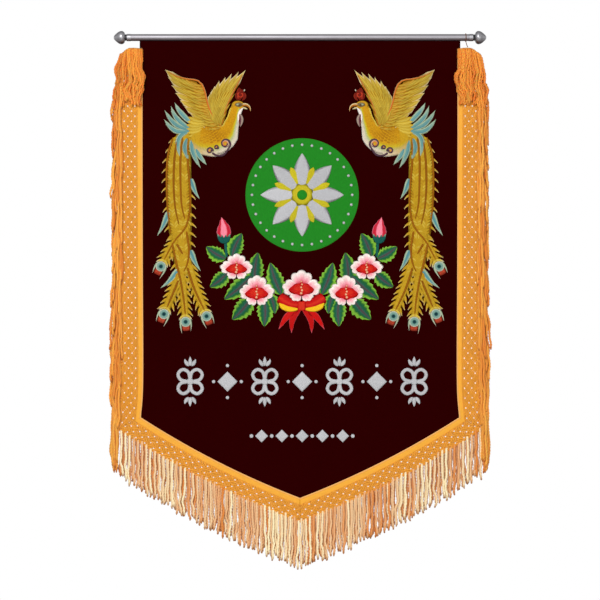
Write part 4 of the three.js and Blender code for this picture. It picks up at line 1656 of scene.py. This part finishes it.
class FLAG_OT_rims(bpy.types.Operator):
    """Run a thick twisted cord along the outer rim of each net, where the strands hang from"""

    bl_idname = "flag.rims"
    bl_label = "Rims"

    radius = 1.5
    # Cords along the net's outer edge: how far out, depth and radius. One more covers its inner edge.
    rows = [(40.2, -2.6, 1.5), (42.0, -1.8, 1.5)]
    inner_row = (-2.7, 0.8)

    def seam(self, lines, hand, end, overlap):
        """A cord over the net's mitre at the lower trim's start, 0, or at the tip, 1."""
        points, count = [], 16
        first, last = 13 - overlap, self.rows[1][0] - overlap
        for k in range(count + 1):
            out = first + (last - first) * k / count
            p = LOWER_ROUTE.off(trim_span(LOWER_ROUTE, out)[end], out)
            points.append(on_cloth(hand * p.x, -3.0, p.y))
        lines.add(points, tone=0.4, taper=0.75)

    def execute(self, context):
        settings = context.scene.flag_trim
        material = cord_finish("fringe_rim", settings.net_colour, thread=0.0006)
        overlap = settings.overlap / MM
        for side, hand in SIDES.items():
            for part, route in ROUTES.items():
                lines = Lines()
                band_edge = settings.band / MM * BAND_SHARE[part] - 0.3
                for out, depth, radius in (*self.rows, (band_edge, *self.inner_row)):
                    lines.follow(route, out - overlap, depth, hand, 4, taper=radius / self.radius)
                if part == "lower":
                    for end in (0, 1) if side == "left" else (0,):
                        self.seam(lines, hand, end, overlap)
                rim = lines.sweep(f"rim_{part}_{side}", material, self.radius * MM, lobes=0.22, step=0.002)
                fit(rim, "fringe_yarn")
        return {"FINISHED"}


class FLAG_OT_lower_strands(bpy.types.Operator):
    """Hang three layers of twisted cords from the lower trims"""

    bl_idname = "flag.lower_strands"
    bl_label = "Lower strands"

    # Layers from the front: depth, shift along the rim, shares of the pitch and of the length, darkest and
    # palest tone, and how unevenly the cords start. The back layer's tones are darker as painted shade.
    layers = [
        (-4.6, 0.0, 1.0, 1.0, -0.3, 1.3, 4.5),
        (-1.6, 0.5, 1.0, 0.97, -0.35, 1.1, 2.0),
        (1.6, 0.0, 0.62, 0.92, -0.35, 0.3, 0.0),
    ]

    def execute(self, context):
        settings = context.scene.flag_trim
        material = cord_finish("lower_strands", settings.lower_colour, settings.lower_deep)
        out = (settings.width - settings.overlap) / MM - 2.5
        pitch, length, count = settings.lower_pitch / MM, settings.strand_length / MM, 34
        loose = [min(1.0, 0.1 + 1.3 * k / (count - 1)) for k in range(count)]
        for side, hand in SIDES.items():
            chance = random.Random(settings.seed + 31 * hand)
            start, end = trim_span(LOWER_ROUTE, out)
            rim = [LOWER_ROUTE.off(start + (end - start) * k / 60, out) for k in range(61)]
            lines = Lines()
            for depth, shift, spacing, share, dark, pale, stagger in self.layers:
                x = pitch * (0.35 + shift)
                while x < rim[0].x - 0.5:
                    root = height_at(rim, x)
                    fall = length * share * (1 + chance.uniform(-0.07, 0.05))
                    lean = chance.uniform(-2.0, 2.0) * min(1.0, x / 15)
                    top = 1.5 + stagger * chance.uniform(-0.6, 1.0)
                    points = []
                    for k in range(count):
                        t = k / (count - 1)
                        y = depth * min(1.0, 0.55 + 5 * t) - 0.25
                        z = root + top - (fall + top - 1.5) * t
                        points.append(on_cloth(hand * (x + lean * t * t), y, z))
                    mood = 0.5 + 1.5 * noise.noise(Vector((hand * x / 15, depth, settings.seed)))
                    mood = 0.4 * chance.random() + 0.6 * min(1.0, max(0.0, mood))
                    # Painted shade: cords of the back layer get darker tones.
                    tone = dark + (pale - dark) * mood
                    lines.add(points, tone, loose, rounded_ends(count), dark_end(count, 3))
                    x += pitch * spacing * chance.uniform(0.93, 1.07)
            name = f"strands_lower_{side}"
            strands = lines.strands(name, material, settings.strand, settings, 1.0, float(hand))
            fit(strands, "fringe_yarn", f"fringe_lower_{side}")
        return {"FINISHED"}


# The side bundle: at heights below the rod, how far out its cords reach, and how far its inner side
# moves out.
BUNDLE_REACH = [
    (21, 334, 0), (40, 339, 0), (78, 344, 0), (119, 350, 0), (135, 353, 0), (170, 351.5, 0),
    (480, 352, 0), (640, 354.5, 4), (780, 355, 5), (820, 349, 6),
]
# The cords' own places run from this far outside the cloth's edge to this far, and they end at this drop.
BUNDLE_ROOM = {"near": 32.5, "far": 52, "end": 816}


def gathered(x, z):
    """A place across the side bundle, drawn in to the bundle's reach at that height."""
    for (high, wide, clear), (low, next_wide, next_clear) in zip(BUNDLE_REACH, BUNDLE_REACH[1:]):
        if -z <= low:
            break
    share = min(1.0, max(0.0, (-z - high) / (low - high)))
    reach = wide + (next_wide - wide) * share
    edge = side_out(z) + BUNDLE_ROOM["near"]
    near = edge + clear + (next_clear - clear) * share
    return near + (x - edge) * (reach - near) / (BUNDLE_ROOM["far"] - BUNDLE_ROOM["near"])


class FLAG_OT_side_strands(bpy.types.Operator):
    """Let the side trims' cords fall into a thick bundle down each side"""

    bl_idname = "flag.side_strands"
    bl_label = "Side strands"

    # More cords hang close together by the corner, where the bundle ends.
    corner_cords, corner_pitch = 14, 3.1
    # Places across the bundle that cords take in turn: how far out from the rim, and depth, front negative.
    lanes = [
        (0.0, -6.4), (10.5, -5.4), (17.0, -0.4), (3.0, -6.6), (14.0, -4.6), (8.0, 1.2),
        (6.0, -6.2), (17.5, -3.4), (11.5, 0.6), (1.5, -8.6), (15.0, 1.4), (8.5, -9.2),
    ]

    def execute(self, context):
        settings = context.scene.flag_trim
        material = cord_finish("side_strands", settings.side_colour, settings.side_deep, glow=0.25)
        out = (settings.width - settings.overlap) / MM - 3
        length, pitch = settings.strand_length / MM, settings.side_pitch / MM
        for side, hand in SIDES.items():
            chance = random.Random(settings.seed + 57 * hand)
            lines = Lines()
            start, end = trim_span(SIDE_ROUTE, out)
            count = int((end - start) / pitch)
            roots = [start + 2 + (end - start - 4) * n / count for n in range(count + 1)]
            roots += [end - 3 - self.corner_pitch * n for n in range(self.corner_cords)]
            for n, along in enumerate(roots):
                root = SIDE_ROUTE.off(along, out)
                drift, depth = self.lanes[n % len(self.lanes)]
                drift += chance.uniform(-1.6, 1.6)
                flick = chance.uniform(-2.0, 2.5)
                fall = length * (1 + chance.uniform(-0.09, 0.06))
                fall = min(fall, BUNDLE_ROOM["end"] + root.y + chance.uniform(-14, 4))
                marks = [
                    (root.x, -2.1, root.y), (root.x + 2.2 + 0.15 * drift, 0.6 * depth - 0.8, root.y - 2),
                ]
                for across, drop in (
                    (1.5 + 0.5 * drift, 9), (0.9 * drift, 0.36 * fall), (drift, 0.7 * fall),
                    (drift + flick, fall),
                ):
                    z = root.y - drop
                    marks.append((gathered(root.x + across, z), depth, z))
                lines.hang(marks, hand, chance.random(), dark=2)
            name = f"strands_side_{side}"
            strands = lines.strands(name, material, settings.strand, settings, 0.6, 3.0 + hand, 0.0025, 7)
            fit(strands, "fringe_yarn", f"fringe_side_{side}")
        return {"FINISHED"}


class FLAG_OT_tufts(bpy.types.Operator):
    """Fold the side trims' top ends over, so that their cords hang as a tuft in front"""

    bl_idname = "flag.tufts"
    bl_label = "Tufts"

    # Each layer's depth and number of cords.
    layers = [(-6.8, 15), (-9.8, 14), (-4.0, 15)]
    length = 104
    # A tuft's cords wander this many times as far as the lower ones.
    looser = 1.45

    def execute(self, context):
        settings = context.scene.flag_trim
        material = cord_finish("tuft_strands", settings.tuft_colour, settings.side_deep, glow=0.45)
        inner = SIDE_EDGE[0][0] - settings.overlap / MM
        width = settings.width / MM
        for side, hand in SIDES.items():
            chance = random.Random(settings.seed + 91 * hand)
            lines = Lines()
            for depth, count in self.layers:
                for n in range(count):
                    share = (n + 0.5) / count
                    x = inner + 1.5 + share * (width - 5)
                    bulge = -6.5 * (1 - share) ** 1.5
                    cross = chance.uniform(-3.2, 3.2) * min(1.0, 0.3 + 2 * share)
                    flare = 20 * share**1.6
                    fall = self.length * (1 + chance.uniform(-0.09, 0.05))
                    hump = math.sin(math.pi * min(1.0, share / 0.9))
                    top = -TRIM_TOP + 1.2 * hump - 36 * max(0.0, share - 0.6) ** 1.5
                    marks = [
                        (0, -2.4, 2.5),
                        (0, 0.5 * depth, 0.6 - 0.1 * depth),
                        (0.3 * flare, depth, 8),
                        (0.2 * bulge + 0.6 * flare + 0.3 * cross, depth - 1, 0.33 * fall),
                        (bulge + 0.72 * flare + cross, depth - 0.5, 0.6 * fall),
                        (-0.4 * bulge + 0.9 * flare + 0.5 * cross, depth, 0.85 * fall),
                        (-0.1 * bulge + flare + chance.uniform(-2, 2), depth + 1, fall),
                    ]
                    marks = [(x + across, y, top - drop) for across, y, drop in marks]
                    lines.hang(marks, hand, chance.random())
            thick = settings.tuft_strand
            tuft = lines.strands(f"tuft_{side}", material, thick, settings, self.looser, 11.0 + hand)
            fit(tuft, "fringe_yarn")
        return {"FINISHED"}


class FLAG_OT_silk(bpy.types.Operator):
    """Dye the embroidery silk"""

    bl_idname = "flag.silk"
    bl_label = "Silk"

    def execute(self, context):
        silk_finish(context.scene.flag_stitch)
        return {"FINISHED"}


class FLAG_OT_birds(bpy.types.Operator):
    """Embroider the pair of crested birds that face each other"""

    bl_idname = "flag.birds"
    bl_label = "Birds"

    place = (-158, -173)

    def execute(self, context):
        for side, mirrored in (("left", False), ("right", True)):
            work = Needlework(*self.place, mirrored)
            sew_tail(work)
            sew_rump(work)
            sew_wing(work, NEAR_WING)
            sew_body(work)
            sew_wing(work, FAR_WING)
            sew_scrolls(work)
            sew_head(work)
            work.finish(f"embroidery_bird_{side}")
        return {"FINISHED"}


class FLAG_OT_garland(bpy.types.Operator):
    """Embroider the garland of five flowers, its leaves, buds and bow"""

    bl_idname = "flag.garland"
    bl_label = "Garland"

    place = (3, -466)

    def execute(self, context):
        halves = {"left": (self.place[0], False), "right": (-self.place[0], True)}
        for side, (across, mirrored) in halves.items():
            work = Needlework(across, self.place[1], mirrored, 1)
            for leaf in LEAVES:
                sew_leaf(work, *leaf)
            sew_bud(work)
            sew_bow(work, -1)
            for flower in FLOWERS[1:]:
                sew_flower(work, *flower)
            work.finish(f"embroidery_garland_{side}")
        middle = Needlework(*self.place, False, 2)
        knot = blend("red", "flame", 0.6)
        middle.blade([(0, -29), (0, -46)], 16, knot, rim="red", form="stem", layer=1.7, crown=1.0, rows=6)
        sew_flower(middle, *FLOWERS[0])
        middle.finish("embroidery_flower_middle")
        return {"FINISHED"}


class FLAG_OT_roundel(bpy.types.Operator):
    """Embroider the green roundel with its silver and yellow rosette"""

    bl_idname = "flag.roundel"
    bl_label = "Roundel"

    place = (4, -295)
    radius = 112
    petals = 8
    beads = 32
    bead_ring = 94

    def execute(self, context):
        work = Needlework(*self.place, False, 3)
        stops = [(0, "green"), (0.965, "green"), (0.985, "dark"), (1, "dark")]
        work.wedge((0, 0), self.radius, stops, crown=0.55, rings=60, spokes=120, lean=24)
        for k in range(self.petals):
            for tint, turn, near, far, width, layer in (
                ("lemon", 0.5, 22, 56, 22, 0.6),
                ("silver", 0.0, 14, 78, 32, 0.8),
            ):
                angle = 2 * math.pi * (k + turn) / self.petals + math.pi / 2
                ray = Vector((math.cos(angle), math.sin(angle)))
                work.blade([ray * near, ray * (near + far) / 2, ray * far], width, tint, form="leaf",
                           layer=layer, crown=0.7, rows=14)
        work.disc((0, 0), 21, "lemon", layer=1.5, spokes=40)
        work.disc((0, 0), 11, "green", layer=2.0, spokes=28)
        for k in range(self.beads):
            angle = 2 * math.pi * k / self.beads
            spot = (self.bead_ring * math.cos(angle), self.bead_ring * math.sin(angle))
            work.disc(spot, 2.8, "silver", layer=0.6, spokes=10, rings=2)
        work.finish("embroidery_roundel")
        return {"FINISHED"}


class FLAG_OT_ornaments(bpy.types.Operator):
    """Embroider two rows of silver ornaments under the garland"""

    bl_idname = "flag.ornaments"
    bl_label = "Ornaments"

    place = (4, -645)
    pitch = 70
    small_row = -102
    small_pitch = 19

    def spray(self, work, x, turn):
        """A knot of four loops with a bud above and below; every other one stands on its corner."""
        for k in range(4):
            angle = math.pi / 2 * (k + turn)
            ray = Vector((math.cos(angle), math.sin(angle)))
            side = Vector((-ray.y, ray.x))
            heart = Vector((x, 0))
            loop = [heart + ray * 3 - side * 3, heart + ray * 15 - side * 10, heart + ray * 26 - side * 6,
                    heart + ray * 26 + side * 6, heart + ray * 15 + side * 10, heart + ray * 3 + side * 3]
            work.blade(loop, 7.5, "silver", form="stem", layer=0.03 * k, crown=0.9, rows=30)
        work.disc((x, 0), 7, "silver", layer=0.8, spokes=16)
        for way in (-1, 1):
            for lean in (-9, 0, 9):
                tip = (x + 1.1 * lean, way * (47 - abs(lean) / 2))
                spine = [(x + 0.3 * lean, way * 29), (x + lean, way * 38), tip]
                work.blade(spine, 8, "silver", form="leaf", layer=0.3, crown=0.8, rows=8)

    def lozenge(self, work, spot, size):
        def reach(share):
            turn = 2 * math.pi * share
            return size / (abs(math.cos(turn)) + abs(math.sin(turn)))

        stops = [(0, "silver"), (1, "silver")]
        work.wedge(spot, reach, stops, spokes=16, rings=3, lean=45)

    def execute(self, context):
        work = Needlework(*self.place, False, 4)
        for k in range(-3, 4):
            if k % 2:
                self.spray(work, k * self.pitch, 0.5)
            else:
                self.lozenge(work, (k * self.pitch, 0), 22)
                for x, z in ((-26, 0), (26, 0), (0, -30), (0, 30)):
                    work.disc((k * self.pitch + x, z), 4, "silver", spokes=12, rings=2)
        for k in range(-5, 6):
            if k % 2:
                work.disc((k * self.small_pitch, self.small_row), 4.5, "silver", spokes=14, rings=2)
            else:
                self.lozenge(work, (k * self.small_pitch, self.small_row), 14)
        work.finish("embroidery_ornaments")
        return {"FINISHED"}


class FLAG_OT_tie(bpy.types.Operator):
    """Loop the brown thread round the rod and down to the right-hand tuft"""

    bl_idname = "flag.tie"
    bl_label = "Tie"

    colour = linear(128, 84, 58)

    def execute(self, context):
        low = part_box("tie_right")[0]
        half_thread, clear = 0.7, 0.3
        x, foot = low.x / MM + 0.8, low.z / MM
        radius = ROD_RADIUS + clear + half_thread
        lines = Lines()
        turns = 28
        ring = []
        for k in range(turns + 1):
            angle = -math.pi / 2 + 2 * math.pi * k / turns
            y, z = radius * math.cos(angle), radius * math.sin(angle)
            ring.append(((x + 0.6 * k / turns) * MM, y * MM, z * MM))
        marks = [(x + 0.6, 0.0, -radius), (x + 1.6, -1.0, -radius - 5), (x + 4.0, -2.1, foot + 0.5)]
        ring += [tuple(c * MM for c in p) for p in smooth_curve(marks, 8)][1:]
        lines.add(ring)
        thread = cord_finish("tie_thread", self.colour, thread=0.0004)
        tie = lines.sweep("rod_tie", thread, 0.0009, lobes=0.2, turn=0.004, step=0.0007)
        fit(tie, "tie_thread", "tie_right")
        return {"FINISHED"}


class FLAG_OT_stage(bpy.types.Operator):
    """Set the pale floor, the soft light and the camera"""

    bl_idname = "flag.stage"
    bl_label = "Stage"

    def area_light(self, name, power, size, place, target):
        lamp = bpy.data.lights.new(name, "AREA")
        lamp.shape, lamp.size, lamp.energy = "DISK", size, power
        holder = bpy.data.objects.new(name, lamp)
        holder.location = place
        aim = Vector(target) - Vector(place)
        holder.rotation_euler = aim.to_track_quat("-Z", "Y").to_euler()
        holder.visible_camera = False
        bpy.context.scene.collection.objects.link(holder)

    def ramp(self, room, value, stops):
        """Greys that follow (share, brightness) stops."""
        made = room.node("ShaderNodeValToRGB", {0: value})
        elements = made.color_ramp.elements
        while len(elements) < len(stops):
            elements.new(0.5)
        for element, (place, grey) in zip(elements, stops):
            element.position, element.color = place, (grey, grey, grey, 1.0)
        return made.outputs[0]

    def floor(self, settings):
        radius, count = 3.0, 96
        turns = [2 * math.pi * k / count for k in range(count)]
        ring = [(radius * math.cos(t), radius * math.sin(t), -settings.floor_drop) for t in turns]
        finish = Finish("stage_floor", settings.floor, 0.8)
        grain = finish.noise(finish.place(), 60.0)
        shades = opaque(settings.floor, 0.97), opaque(settings.floor, 1.02)
        finish.set("Base Color", finish.mix(grain, *shades))
        floor = new_object("stage_floor", ring, [tuple(range(count))], finish.material, smooth=False)

    def execute(self, context):
        scene, settings = context.scene, context.scene.flag_stage
        self.floor(settings)
        world = bpy.data.worlds.new("studio")
        world.use_nodes = True
        scene.world = world
        room = Nodes(world.node_tree)
        # Behind the flag the room is white at eye level. In front it is grey, and lighter above than below,
        # so that the metal has something to mirror and the cords keep their shade.
        way = room.node("ShaderNodeTexCoord").outputs["Generated"]
        facing = room.node("ShaderNodeSeparateXYZ", {0: way}).outputs
        height = room.range(facing["Z"], -1.0, 1.0)
        behind = self.ramp(room, height, ((0.28, 0.3), (0.44, 1.0), (0.56, 1.0), (0.72, 0.3)))
        before = self.ramp(room, height, ((0.0, 0.2), (0.4, 0.25), (0.5, 0.6), (0.62, 0.6), (0.95, 0.6)))
        light = room.mix(room.range(facing["Y"], -0.1, 0.1), before, behind)
        room.feed(room.nodes["Background"].inputs["Color"], light)
        self.area_light("key_light", settings.key, 1.2, (-1.2, -4.0, 1.7), (0, 0, -0.5))
        self.area_light("fill_light", settings.fill, 2.0, (1.6, -3.8, -0.2), (0, 0, -0.5))
        camera = bpy.data.objects.new("camera", bpy.data.cameras.new("camera"))
        scene.collection.objects.link(camera)
        camera.location = (0.0, -settings.distance, settings.view_height)
        camera.rotation_euler = (math.radians(90), 0, 0)
        camera.data.lens = camera.data.sensor_width * settings.distance / settings.view_width
        camera.data.clip_end = 50
        scene.camera = camera
        scene.view_settings.view_transform = "Standard"
        return {"FINISHED"}


class FLAG_OT_declare(bpy.types.Operator):
    """A step that does nothing"""

    bl_idname = "flag.declare"
    bl_label = "Cloth sizes"

    def execute(self, context):
        return {"FINISHED"}


class FLAG_PT_panel(bpy.types.Panel):
    """Lists the flag's pieces and their sizes"""

    bl_idname = "FLAG_PT_panel"
    bl_label = "Club Flag"
    bl_space_type = "VIEW_3D"
    bl_region_type = "UI"
    bl_category = "Flag"

    def draw(self, context):
        layout = self.layout
        for maker_class in MAKERS:
            layout.operator(maker_class.bl_idname)
        for name in SETTINGS:
            box = layout.box()
            group = getattr(context.scene, name)
            for key in group.bl_rna.properties.keys():
                if key not in ("rna_type", "name"):
                    box.prop(group, key)


SETTINGS = {
    "flag_rod": FlagRodSettings,
    "flag_cloth": FlagClothSettings,
    "flag_trim": FlagTrimSettings,
    "flag_stitch": FlagStitchSettings,
    "flag_stage": FlagStageSettings,
}
MAKERS = (
    FLAG_OT_stage, FLAG_OT_rod, FLAG_OT_finials, FLAG_OT_cloth, FLAG_OT_hem, FLAG_OT_band, FLAG_OT_net,
    FLAG_OT_rims, FLAG_OT_lower_strands, FLAG_OT_side_strands, FLAG_OT_tufts, FLAG_OT_silk, FLAG_OT_birds,
    FLAG_OT_garland, FLAG_OT_roundel, FLAG_OT_ornaments, FLAG_OT_tie, FLAG_OT_declare,
)


def register():
    for name, group in SETTINGS.items():
        bpy.utils.register_class(group)
        setattr(bpy.types.Scene, name, bpy.props.PointerProperty(type=group))
    for made in (*MAKERS, FLAG_PT_panel):
        bpy.utils.register_class(made)


def unregister():
    for made in reversed((*MAKERS, FLAG_PT_panel)):
        bpy.utils.unregister_class(made)
    for name, group in reversed(SETTINGS.items()):
        delattr(bpy.types.Scene, name)
        bpy.utils.unregister_class(group)


def main():
    register()
    for made in MAKERS:
        family, name = made.bl_idname.split(".")
        getattr(getattr(bpy.ops, family), name)()
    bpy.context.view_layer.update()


if __name__ == "__main__":
    main()
